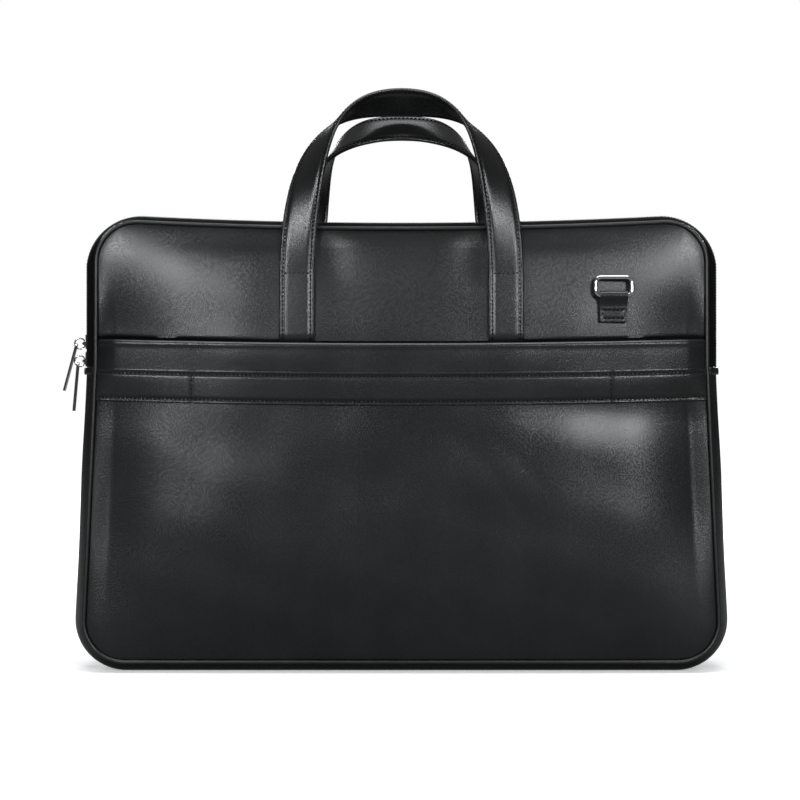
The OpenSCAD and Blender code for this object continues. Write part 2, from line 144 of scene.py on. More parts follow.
class Graph:
    """A node tree in which every node comes from one method."""

    def __init__(self, tree: bpy.types.NodeTree) -> None:
        """Takes a tree and empties it."""
        self.tree = tree
        self.tree.nodes.clear()

    def put(self, socket: bpy.types.NodeSocket, value: object) -> None:
        """Gives a socket a link or a plain value.

        Args:
            socket: the input socket.
            value: a Link, or a value that the socket takes.
        """
        if isinstance(value, Link):
            self.tree.links.new(value.socket, socket)
        else:
            socket.default_value = value

    def add(self, kind: str, settings: dict, inputs: dict, output: object = 0) -> Link:
        """Adds a node.

        Args:
            kind: the node's type.
            settings: its own settings, set first.
            inputs: values or links by socket name or number.
            output: the name or number of the output that is wanted.
        Returns:
            That output as a Link.
        """
        node = self.tree.nodes.new(kind)
        for key, value in settings.items():
            setattr(node, key, value)
        for key, value in inputs.items():
            self.put(node.inputs[key], value)
        return Link(self, node, output)

    def object_place(self) -> Link:
        """The place in the piece's own object coordinates."""
        return self.add("ShaderNodeTexCoord", {}, {}, "Object")

    def noise(self, vector: Link, scale: float, detail: float, roughness: float = 0.5) -> Link:
        """A noise pattern from 0 to 1."""
        return self.add("ShaderNodeTexNoise", {}, {
            "Vector": vector, "Scale": scale, "Detail": detail, "Roughness": roughness}, "Fac")

    def bands(self, way: str, scale: float) -> Link:
        """Soft bands across an axis, or across the DIAGONAL, from 0 to 1."""
        return self.add("ShaderNodeTexWave", {"wave_type": "BANDS", "bands_direction": way},
                        {"Vector": self.object_place(), "Scale": scale}, "Fac")

    def cells(self, vector: Link, scale: float) -> Link:
        """The distance from the middle of each cell of a cell pattern."""
        return self.add("ShaderNodeTexVoronoi", {"feature": "F1"},
                        {"Vector": vector, "Scale": scale}, "Distance")

    def ramp(self, value: Link, low: float, high: float, start: float = 0.0,
             end: float = 1.0) -> Link:
        """A value mapped smoothly from low..high to start..end."""
        return self.add("ShaderNodeMapRange", {"interpolation_type": "SMOOTHSTEP"}, {
            "Value": value, "From Min": low, "From Max": high, "To Min": start, "To Max": end})

    def mix(self, factor: Link, first: Sequence[float], second: Sequence[float]) -> Link:
        """A colour between two colours."""
        return self.add("ShaderNodeMix", {"data_type": "RGBA"},
                        {0: factor, 6: (*first, 1.0), 7: (*second, 1.0)}, 2)

    def seen(self) -> Link:
        """1 where the camera looks straight at a surface, 0 in light and reflections."""
        return self.add("ShaderNodeLightPath", {}, {}, "Is Camera Ray")

    def either(self, factor: Link, first: Link, second: Link) -> Link:
        """One of two shaders: the second where the factor is 1."""
        return self.add("ShaderNodeMixShader", {}, {0: factor, 1: first, 2: second})


class Surface(Graph):
    """The node tree of a new material, with its shader and its output ready."""

    def __init__(self, name: str) -> None:
        """Makes a material.

        Args:
            name: the material's name.
        """
        self.material = bpy.data.materials.new(name)
        self.material.use_nodes = True
        super().__init__(self.material.node_tree)
        self.shader = self.add("ShaderNodeBsdfPrincipled", {}, {})
        self.output = self.add("ShaderNodeOutputMaterial", {}, {"Surface": self.shader})

    def bump(self, height: Link, depth: float, strength: float) -> None:
        """Feeds a height pattern to the shader's normal."""
        self.put(self.shader.node.inputs["Normal"], self.add("ShaderNodeBump", {}, {
            "Height": height, "Distance": depth, "Strength": strength}, "Normal"))

    def finish(self, **sockets: object) -> bpy.types.Material:
        """Sets the shader's sockets.

        Args:
            **sockets: values or links by socket name, with underscores for spaces.
        Returns:
            The finished material.
        """
        for key, value in sockets.items():
            self.put(self.shader.node.inputs[key.replace("_", " ")], value)
        return self.material


def shade(colour: Sequence[float], share: float) -> tuple:
    """A colour made darker or lighter by a share."""
    return tuple(share * c for c in colour)


# ---------------------------------------------------------------- finishes


@dataclass(frozen=True)
class Leather:
    """Fine-grained black leather: pebbles, pores and slow changes of tone."""

    name: str = "black_leather"
    dark: tuple = (0.0040, 0.0042, 0.0046)
    light: tuple = (0.0078, 0.0081, 0.0088)
    roughness: float = 0.27
    pebble: float = 1500.0
    depth: float = 0.00010
    strength: float = 0.5
    specular: float = 0.5
    pore_share: float = 0.42

    def material(self) -> bpy.types.Material:
        """Makes the material.

        Returns:
            The finished material.
        """
        g = Surface(self.name)
        place = g.object_place()
        warp = g.noise(place, 800.0, 3.0, 0.6)
        pebbles = g.ramp(g.cells(place, self.pebble), 0.10, 0.65)
        pores = g.ramp(g.cells(place, self.pebble * self.pore_share), 0.02, 0.10)
        slow = g.noise(place, 26.0, 4.0, 0.6)
        patch = g.noise(place, 9.0, 2.0)
        height = (1 - pebbles) * 0.6 + warp * 0.5 + pores * 0.25 + slow * 0.3
        g.bump(height, self.depth, self.strength)
        tone = g.mix(g.ramp(slow, 0.3, 0.7), self.dark, self.light)
        rough = self.roughness + (patch - 0.5) * 0.10 + (pebbles - 0.5) * 0.07
        return g.finish(Base_Color=tone, Roughness=rough, Specular_IOR_Level=self.specular)


@dataclass(frozen=True)
class Thread:
    """Waxed black sewing thread, with its twist, and painted shade and highlight along the twist.
    """

    name: str = "black_thread"
    colour: tuple = (0.0016, 0.0016, 0.0018)
    twist: float = 130.0
    depth: float = 0.00008

    def material(self) -> bpy.types.Material:
        """Makes the material.

        Returns:
            The finished material.
        """
        g = Surface(self.name)
        wave = g.bands("DIAGONAL", self.twist)
        g.bump(wave, self.depth, 0.5)
        # Painted shade and painted highlight: the twist's grooves are painted darker and its ridges
        # lighter, on the same bands as the bump.
        tone = g.mix(wave, shade(self.colour, 0.7), shade(self.colour, 1.6))
        return g.finish(Base_Color=tone, Roughness=0.6, Specular_IOR_Level=0.2)


@dataclass(frozen=True)
class Weave:
    """A plain woven cloth: crossing ribs at a pitch that the cloth sets, with painted shade in
    their hollows and painted highlight on their tops.
    """

    name: str
    colour: tuple
    pitch: float
    roughness: float = 0.8
    depth: float = 0.00012
    sheen: float = 0.15
    specular: float = 0.25

    def material(self) -> bpy.types.Material:
        """Makes the material.

        Returns:
            The finished material.
        """
        g = Surface(self.name)
        ribs = [g.bands(way, BAND_SCALE / self.pitch) for way in ("X", "Y", "Z")]
        fuzz = g.noise(g.object_place(), 900.0, 3.0)
        weave = ribs[0] * ribs[2] * 0.5 + ribs[1] * 0.3 + fuzz * 0.4
        g.bump(weave, self.depth, 0.6)
        # Painted shade and painted highlight: the weave's hollows are painted darker and its raised
        # ribs lighter, from the bump's own height; the fuzz in it is random tone.
        tone = g.mix(weave, shade(self.colour, 0.55), shade(self.colour, 1.3))
        return g.finish(Base_Color=tone, Roughness=self.roughness, Sheen_Weight=self.sheen,
                        Specular_IOR_Level=self.specular)


@dataclass(frozen=True)
class Moulded:
    """Matt or satin black polymer with a faint moulded texture: coils, boards and foam."""

    name: str
    colour: tuple
    roughness: float = 0.45
    grain: float = 700.0
    depth: float = 0.00005

    def material(self) -> bpy.types.Material:
        """Makes the material.

        Returns:
            The finished material.
        """
        g = Surface(self.name)
        speck = g.noise(g.object_place(), self.grain, 3.0)
        g.bump(speck, self.depth, 0.4)
        tone = g.mix(speck, shade(self.colour, 0.8), shade(self.colour, 1.2))
        return g.finish(Base_Color=tone, Roughness=self.roughness + (speck - 0.5) * 0.1)


@dataclass(frozen=True)
class PolishedMetal:
    """Polished nickel plate with faint polishing haze."""

    name: str = "polished_nickel"
    colour: tuple = (0.64, 0.635, 0.625)

    def material(self) -> bpy.types.Material:
        """Makes the material.

        Returns:
            The finished material.
        """
        g = Surface(self.name)
        haze = g.noise(g.object_place(), 320.0, 4.0)
        tone = g.mix(haze, shade(self.colour, 0.9), self.colour)
        g.bump(haze, 0.00002, 0.15)
        return g.finish(Base_Color=tone, Roughness=0.06 + haze * 0.07, Metallic=1.0)


class Wardrobe:
    """Every finish, made once."""

    def __init__(self) -> None:
        """Makes all the materials."""
        self.leather = Leather().material()
        self.strap = Leather("strap_leather", (0.0050, 0.0051, 0.0055),
                             (0.0090, 0.0092, 0.0098)).material()
        self.piping = Leather("piping_leather", (0.005, 0.005, 0.0055), (0.009, 0.009, 0.0095),
                              roughness=0.34, pebble=1300.0, strength=0.4).material()
        self.thread = Thread().material()
        self.lining = Weave("lining_cloth", (0.032, 0.032, 0.036), 0.0006).material()
        self.tape = Weave("zip_tape_cloth", (0.003, 0.003, 0.0033), 0.0007, roughness=0.9,
                          sheen=0.0, specular=0.08).material()
        self.coil = Moulded("zip_coil_nylon", (0.030, 0.030, 0.032), 0.26).material()
        self.board = Moulded("base_board", (0.03, 0.03, 0.03), 0.6).material()
        self.foam = Moulded("padding_foam", (0.12, 0.12, 0.13), 0.9, 1500.0, 0.0002).material()
        self.metal = PolishedMetal().material()


# ---------------------------------------------------------------- the pattern that all pieces share


def ease(value: Array) -> Array:
    """A smooth step from 0 to 1."""
    c = np.clip(value, 0.0, 1.0)
    return c * c * (3 - 2 * c)


def line(*axes: object) -> Array:
    """Three coordinate arrays, or numbers, as rows of x, y and z."""
    return np.stack(np.broadcast_arrays(*axes), axis=-1).astype(float)


def run_of(rows: Array) -> Array:
    """The distance along a line of points, at each of them."""
    return np.concatenate([[0], np.cumsum(np.linalg.norm(np.diff(rows, axis=0), axis=1))])


def read(at: Array, run: Array, rows: Array) -> Array:
    """Rows read at distances along a run."""
    return np.stack([np.interp(at, run, column) for column in rows.T], axis=1)


def hump(value: Array, width: float) -> Array:
    """A soft ridge: 1 at zero, gone beyond about two widths."""
    return np.exp(-(value / width) ** 2)


def squared(wave: Array, power: float) -> Array:
    """A sine or cosine with its corners squared up, the more the lower the power."""
    return np.sign(wave) * np.abs(wave) ** power


def gathered(value: Array, share: float) -> Array:
    """Grid places from -1 to 1, a share of them drawn towards both ends."""
    return share * np.sin(value * math.pi / 2) + (1 - share) * value


@dataclass(frozen=True)
class Pattern:
    """The shape that the panels, seams and gussets are cut to, read from the frame."""

    side_w: float
    base_w: float
    seam_low: float
    seam_high: float
    low_half: float
    high_half: float
    mouth_z: float
    pocket_z: float
    side_rise: float
    top_rise: float
    corner_r: float = 0.027
    bulge: float = 0.006
    pocket_room: float = 0.006
    setback: float = 0.0023
    setback_gap: float = 0.0001
    setback_rise: float = 0.0020
    piping_r: float = 0.0014
    top_sag: float = 0.0042
    droop: float = 0.003
    tuck: float = 0.0021
    tuck_reach: float = 0.0065
    face_lift: float = 0.0008
    slack_reach: float = 0.014
    hollows: tuple = (
        (-0.186, 0.208, 0.043, 0.033, 0.0056), (0.188, 0.205, 0.041, 0.033, 0.0054),
        (-0.100, 0.281, 0.045, 0.012, 0.0016), (0.100, 0.281, 0.045, 0.012, 0.0012),
        (-0.047, 0.268, 0.014, 0.020, 0.0018), (0.047, 0.268, 0.014, 0.020, 0.0018),
        (-0.190, 0.105, 0.030, 0.060, 0.0042), (0.192, 0.120, 0.030, 0.060, 0.0050),
        (0.125, 0.172, 0.050, 0.020, 0.0020))
    taut: tuple = (0.155, 0.190)
    lean: float = 0.0019
    lean_reach: float = 0.018
    dome_power: float = 2.2
    base_power: float = 4.8

    @classmethod
    def from_frame(cls) -> "Pattern":
        """Reads the driving sizes from the frame's boxes.

        Returns:
            The pattern.
        """
        upper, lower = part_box("front_piping_upper"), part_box("front_piping_lower")
        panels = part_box("front_panel_lower"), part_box("front_panel_upper")
        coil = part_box("back_zip_coil")
        r = cls.piping_r
        return cls(
            side_w=upper[1][0], base_w=lower[1][0], seam_low=lower[0][2], seam_high=upper[1][2],
            low_half=-lower[0][1] - r, high_half=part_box("back_piping")[0][1] + r,
            mouth_z=(panels[0][1][2] + panels[1][0][2]) / 2, pocket_z=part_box("pocket_top")[1][2],
            side_rise=coil[1][0] - upper[1][0], top_rise=coil[1][2] - upper[1][2])

    @property
    def low_arc(self) -> float:
        """Height of the centre of a lower corner."""
        return self.seam_low + self.corner_r

    @property
    def high_arc(self) -> float:
        """Height of the centre of an upper corner."""
        return self.seam_high - self.corner_r

    @property
    def fold(self) -> tuple:
        """Start and end of the stretch in which leather bends as the mouth opens."""
        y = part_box("pocket_top")[0][1]
        return (0.0, y, self.mouth_z - 0.001), (0.0, y, self.mouth_z + 0.024)

    def seam_half(self, z: Array) -> Array:
        """Half the depth between the two seams at a height."""
        t = np.clip((z - self.seam_low) / (self.seam_high - self.seam_low), 0, 1)
        return self.low_half + (self.high_half - self.low_half) * t

    def side(self, z: Array) -> Array:
        """Half the width at a height, before the corners are rounded."""
        t = np.clip((self.mouth_z - z) / (self.mouth_z - self.low_arc), 0, 1)
        return self.side_w + (self.base_w - self.side_w) * t

    def edge(self, z: Array, inset: float = 0.0) -> Array:
        """Half the width at a height with rounded corners.

        Args:
            z: heights.
            inset: how far inside the outline it is taken.
        Returns:
            The half widths.
        """
        r = self.corner_r - inset
        d = np.maximum(np.maximum(self.low_arc - z, z - self.high_arc), 0)
        return self.side(z) - self.corner_r + np.sqrt(np.maximum(r * r - d * d, 0))

    def sag(self, x: Array) -> Array:
        """How far the top edge sags at a place across the bag."""
        return self.top_sag * np.maximum(0, 1 - (x / (self.side_w - self.corner_r)) ** 2)

    def rim(self, x: Array, z: Array) -> Array:
        """Distance of a place on a panel from its outline."""
        across = self.edge(z) - np.abs(x)
        return np.maximum(0, np.minimum(across, np.minimum(z - self.seam_low, self.seam_high - z)))

    def fullness(self, x: Array, z: Array) -> Array:
        """How full a panel is.

        Args:
            x: places across the bag.
            z: heights.
        Returns:
            0 at the panel's edge, 1 in its middle.
        """
        mid, half = (self.seam_low + self.seam_high) / 2, (self.seam_high - self.seam_low) / 2
        return ((1 - np.minimum(1, np.abs(x) / np.maximum(self.edge(z), 1e-6)) ** 4)
                * (1 - np.minimum(1, np.abs(z - mid) / half) ** 4))

    def hollow(self, x: Array, z: Array) -> Array:
        """How far a panel sinks where its padding is slack.

        Args:
            x: places across the bag.
            z: heights.
        Returns:
            The depths.
        """
        sink = np.zeros(np.broadcast(x, z).shape)
        for x0, z0, wide, high, depth in self.hollows:
            sink = sink + depth * hump(x - x0, wide) * hump(z - z0, high)
        return sink * np.minimum(1, self.rim(x, z) / self.slack_reach)

    def back_face(self, x: Array, z: Array) -> Array:
        """Distance of the back panel's face from the bag's middle plane.

        Args:
            x: places across the bag.
            z: heights.
        Returns:
            The distances.
        """
        tuck = self.tuck * np.exp(-self.rim(x, z) / self.tuck_reach)
        full = self.bulge * self.fullness(x, z)
        return self.seam_half(z) + self.face_lift - tuck + full - self.hollow(x, z)

    def front_face(self, x: Array, z: Array) -> Array:
        """Distance of the front panel's face, which steps back behind the pocket."""
        step = ease(1 - (z - self.pocket_edge(x) - self.setback_gap) / self.setback_rise)
        return self.back_face(x, z) - self.setback * step

    def pocket_edge(self, x: Array) -> Array:
        """Height of the pocket's folded edge."""
        return self.pocket_z - self.droop * (1 - np.minimum(1, np.abs(x) / self.side_w) ** 2)

    def pocket_face(self, x: Array, z: Array) -> Array:
        """Distance of the front pocket's face, which is taut and leans out near its mouth.

        Args:
            x: places across the bag.
            z: heights.
        Returns:
            The distances from the bag's middle plane.
        """
        low, high = self.taut
        taut = ease((z - low) / (high - low)) * self.hollow(x, z)
        firm = np.minimum(1, self.rim(x, z) / self.slack_reach)
        lean = self.lean * ease((z - high + self.lean_reach) / (2 * self.lean_reach)) * firm
        return self.back_face(x, z) + self.pocket_room * self.fullness(x, z) + taut + lean

    def outline(self, t: Array, upper: bool) -> tuple:
        """The line that the seams follow.

        Args:
            t: from -1 to 1 along it, from one zip end to the other.
            upper: whether it is the stretch over the top or the one under the base.
        Returns:
            x, z and the outward direction's x and z at each t.
        """
        half = self._half(upper)
        run = run_of(half[:, :2])
        x, z, nx, nz = read(run[-1] - np.abs(t) * run[-1], run, half).T
        size = np.hypot(nx, nz)
        hand = np.where(t < 0, -1.0, 1.0)
        return hand * x, z, hand * nx / size, nz / size

    def _half(self, upper: bool) -> Array:
        """Half of the outline, from the mouth's fold to the middle of the top or base.

        Args:
            upper: whether it is the stretch over the top.
        Returns:
            Rows of x, z and the outward direction's x and z.
        """
        arc_z, turn = (self.high_arc, 1) if upper else (self.low_arc, -1)
        rows = [(float(self.side(z)), z, 1.0, 0.0) for z in np.linspace(self.mouth_z, arc_z, 30)]
        centre = float(self.side(arc_z)) - self.corner_r
        for a in np.linspace(0, math.pi / 2, 25)[1:]:
            nx, nz = math.cos(a), turn * math.sin(a)
            rows.append((centre + self.corner_r * nx, arc_z + self.corner_r * nz, nx, nz))
        end = rows[-1][1]
        for x in np.linspace(centre, 0, 40)[1:]:
            rows.append((x, end - (float(self.sag(x)) if upper else 0.0), 0.0, float(turn)))
        return np.array(rows)

    def rise(self, nz: Array) -> Array:
        """How far the gusset or zip stands out of the seams where the outline faces nz."""
        return np.where(nz > 0, self.side_rise + (self.top_rise - self.side_rise) * nz,
                        self.side_rise + (self.seam_low - self.side_rise) * -nz)

    def dome(self, z: Array, nz: Array, y: Array) -> Array:
        """How far the gusset or zip stands out of the seams.

        Args:
            z: heights.
            nz: the outline's upward direction there.
            y: distances from the middle plane.
        Returns:
            The distances out of the outline.
        """
        d = self.seam_half(z) - self.piping_r
        power = self.dome_power + self.base_power * -np.minimum(nz, 0)
        base = -self.piping_r / 2
        return base + (self.rise(nz) - base) * (1 - np.minimum(1, np.abs(y) / d) ** power)


# ---------------------------------------------------------------- modelling by hand


def only(obj: bpy.types.Object) -> None:
    """Deselects everything, then selects one object and makes it active.

    Args:
        obj: the object.
    """
    bpy.ops.object.select_all(action="DESELECT")
    obj.select_set(True)
    bpy.context.view_layer.objects.active = obj


def edit(obj: bpy.types.Object, *steps: Callable[[], object]) -> bpy.types.Object:
    """Runs edit-mode operators on the whole of an object.

    Args:
        obj: the object.
        *steps: the operators, in order; all is selected before each.
    Returns:
        The same object.
    """
    only(obj)
    bpy.ops.object.mode_set(mode="EDIT")
    for step in steps:
        bpy.ops.mesh.select_all(action="SELECT")
        step()
    bpy.ops.object.mode_set(mode="OBJECT")
    return obj


def shaped_grid(name: str, across: int, along: int, shape: Shape) -> bpy.types.Object:
    """Adds a grid and shapes it.

    Args:
        name: the piece's name.
        across: its cells along u.
        along: its cells along v.
        shape: gives the places of all vertices for their u and v, each from -1 to 1.
    Returns:
        The new object, at the origin.
    """
    bpy.ops.object.select_all(action="DESELECT")
    bpy.ops.mesh.primitive_grid_add(x_subdivisions=across, y_subdivisions=along, size=2.0)
    obj = bpy.context.object
    obj.name = obj.data.name = name
    flat = np.empty(len(obj.data.vertices) * 3)
    obj.data.vertices.foreach_get("co", flat)
    u, v, _ = flat.reshape(-1, 3).T
    obj.data.vertices.foreach_set("co", shape(u, v).astype(np.float32).ravel())
    obj.data.update()
    return obj


def closed(obj: bpy.types.Object, caps: bool = False) -> bpy.types.Object:
    """Merges a tube's meeting edges and turns its faces outwards.

    Args:
        obj: the rolled-up grid.
        caps: whether its open ends are filled first.
    Returns:
        The same object.
    """
    steps = [lambda: bpy.ops.mesh.remove_doubles(threshold=1e-6)]
    if caps:
        steps.append(lambda: bpy.ops.mesh.fill_holes(sides=0))
    steps.append(lambda: bpy.ops.mesh.normals_make_consistent(inside=False))
    return edit(obj, *steps)


def face_away(obj: bpy.types.Object, centre: Sequence[float]) -> bpy.types.Object:
    """Turns an open sheet's faces away from a point.

    Args:
        obj: the sheet.
        centre: the point.
    Returns:
        The same object.
    """
    faces = obj.data.polygons
    out = sum((face.center - Vector(centre)).dot(face.normal) * face.area for face in faces)
    return edit(obj, bpy.ops.mesh.flip_normals) if out < 0 else obj


def apply(obj: bpy.types.Object, kind: str, **settings: object) -> bpy.types.Object:
    """Adds a modifier and applies it.

    Args:
        obj: the object.
        kind: the modifier's type.
        **settings: its settings.
    Returns:
        The same object.
    """
    only(obj)
    mod = obj.modifiers.new(kind.title(), kind)
    for key, value in settings.items():
        setattr(mod, key, value)
    bpy.ops.object.modifier_apply(modifier=mod.name)
    return obj


def thicken(obj: bpy.types.Object, thickness: float, bevel: float = 0.0) -> bpy.types.Object:
    """Gives a sheet its thickness inwards, and rounds its rim.

    Args:
        obj: the sheet.
        thickness: its thickness.
        bevel: the width of the rounding; 0 leaves the rim sharp.
    Returns:
        The same object.
    """
    apply(obj, "SOLIDIFY", thickness=thickness, offset=-1.0, use_even_offset=False)
    if bevel:
        apply(obj, "BEVEL", width=bevel, segments=3, limit_method="ANGLE",
              angle_limit=math.radians(50))
    return obj


def smooth(obj: bpy.types.Object, angle: float = 50.0) -> bpy.types.Object:
    """Shades a piece smooth.

    Args:
        obj: the piece.
        angle: the angle, in degrees, past which an edge stays sharp.
    Returns:
        The same object.
    """
    only(obj)
    bpy.ops.object.shade_smooth_by_angle(angle=math.radians(angle))
    return obj


def dress(obj: bpy.types.Object, material: bpy.types.Material) -> bpy.types.Object:
    """Gives a new piece its finish.

    Args:
        obj: the piece.
        material: its material.
    Returns:
        The same object.
    """
    obj.data.materials.clear()
    obj.data.materials.append(material)
    return obj


def join(name: str, pieces: Sequence[bpy.types.Object]) -> bpy.types.Object:
    """Joins objects into one.

    Args:
        name: the joined piece's name.
        pieces: the objects, each with its own mesh.
    Returns:
        The joined piece, which is the first object.
    """
    spent = [piece.data for piece in pieces[1:]]
    only(pieces[0])
    if spent:
        for piece in pieces[1:]:
            piece.select_set(True)
        bpy.ops.object.join()
        bpy.data.batch_remove(spent)
    obj = bpy.context.object
    obj.name = obj.data.name = name
    return obj


def copies(name: str, template: bpy.types.Object, places: Array, turns: Array) -> bpy.types.Object:
    """Lays copies of a small template, each with its own mesh, and joins them.

    Args:
        name: the new piece's name.
        template: the object to copy, which is then deleted.
        places: one place a row.
        turns: for each place, the template's x, y and z directions as columns.
    Returns:
        The new piece, at the origin.
    """
    pieces = []
    for place, turn in zip(places, turns):
        piece = template.copy()
        piece.data = template.data.copy()
        piece.data.transform(Matrix.Translation(place) @ Matrix(turn.tolist()).to_4x4())
        bpy.context.collection.objects.link(piece)
        pieces.append(piece)
    bpy.data.objects.remove(template, do_unlink=True)
    obj = join(name, pieces)
    bpy.ops.object.shade_smooth()
    return obj


def stitch_template(length: float, width: float, height: float) -> bpy.types.Object:
    """One stitch along x, with its middle raised along z and both ends dipping in.

    Args:
        length: its length, without its pointed ends.
        width: its width.
        height: its height.
    Returns:
        The stitch.
    """
    bpy.ops.object.select_all(action="DESELECT")
    bpy.ops.mesh.primitive_cylinder_add(vertices=6, radius=0.5, depth=1.0, end_fill_type="TRIFAN")
    obj = bpy.context.object
    for v in obj.data.vertices:
        x, y, z = v.co
        point = 1.12 if math.hypot(x, y) < 0.1 else 1.0
        v.co = (z * length * point, y * width, (x - 0.15) * height)
    return apply(obj, "BEVEL", width=0.28 * height, segments=1, limit_method="ANGLE",
                 angle_limit=math.radians(60))


def sew(name: str, points: Array, normals: Array, pitch: float = 0.0026) -> bpy.types.Object:
    """Sews a row of stitches.

    Args:
        name: the row's name.
        points: the line that it follows.
        normals: the outward direction of the surface at each point.
        pitch: the distance between stitches.
    Returns:
        The row.
    """
    run = run_of(points)
    count = max(1, int(run[-1] / pitch))
    at = (np.arange(count) + 0.5) * run[-1] / count
    x = read(at + 0.0004, run, points) - read(at - 0.0004, run, points)
    x /= np.linalg.norm(x, axis=1, keepdims=True)
    z = read(at, run, normals)
    z -= (z * x).sum(axis=1, keepdims=True) * x
    z /= np.linalg.norm(z, axis=1, keepdims=True)
    turns = np.stack([x, np.cross(z, x), z], axis=2)
    stitch = stitch_template(0.62 * pitch, STITCH_W, STITCH_T)
    return copies(name, stitch, read(at, run, points), turns)


def normals_of(surface: Shape, u: Array, v: Array) -> Array:
    """Outward normals of a surface, by small steps in u and v.

    Args:
        surface: gives places for u and v.
        u: places along u.
        v: places along v.
    Returns:
        One unit normal a row.
    """
    step = 1e-3
    du = surface(u + step, v) - surface(u - step, v)
    dv = surface(u, v + step) - surface(u, v - step)
    n = np.cross(du, dv)
    return n / np.linalg.norm(n, axis=1, keepdims=True)


# ---------------------------------------------------------------- panels


@dataclass
class Softness:
    """The slow waves and faint creases of leather over padding."""

    wave: float = 0.00035
    creases: tuple = ()
    bow: float = 0.0025

    def height(self, x: Array, z: Array) -> Array:
        """How far the leather stands out at a place, from waves and creases.

        Args:
            x: places across the bag.
            z: heights.
        Returns:
            The distances out of the smooth face.
        """
        h = self.wave * (np.sin(31 * x + 17 * z + 0.6) * np.sin(23 * z - 9 * x + 1.1)
                         + 0.6 * np.sin(57 * x - 41 * z + 2.0) * np.sin(48 * z + 13 * x)
                         + 0.35 * np.sin(96 * x + 71 * z) * np.sin(88 * z - 52 * x + 0.4))
        for x0, z0, x1, z1, depth, width in self.creases:
            dx, dz = x1 - x0, z1 - z0
            t = np.clip(((x - x0) * dx + (z - z0) * dz) / (dx * dx + dz * dz), 0, 1)
            bow = self.bow * np.sin(3.1 * t * math.pi / 2)
            d = np.hypot(x - x0 - dx * t, z - z0 - dz * t - bow)
            fade = np.sin(math.pi * np.clip(t, 0.02, 0.98)) ** 0.5
            h = h - depth * hump(d, width) * fade
        return h


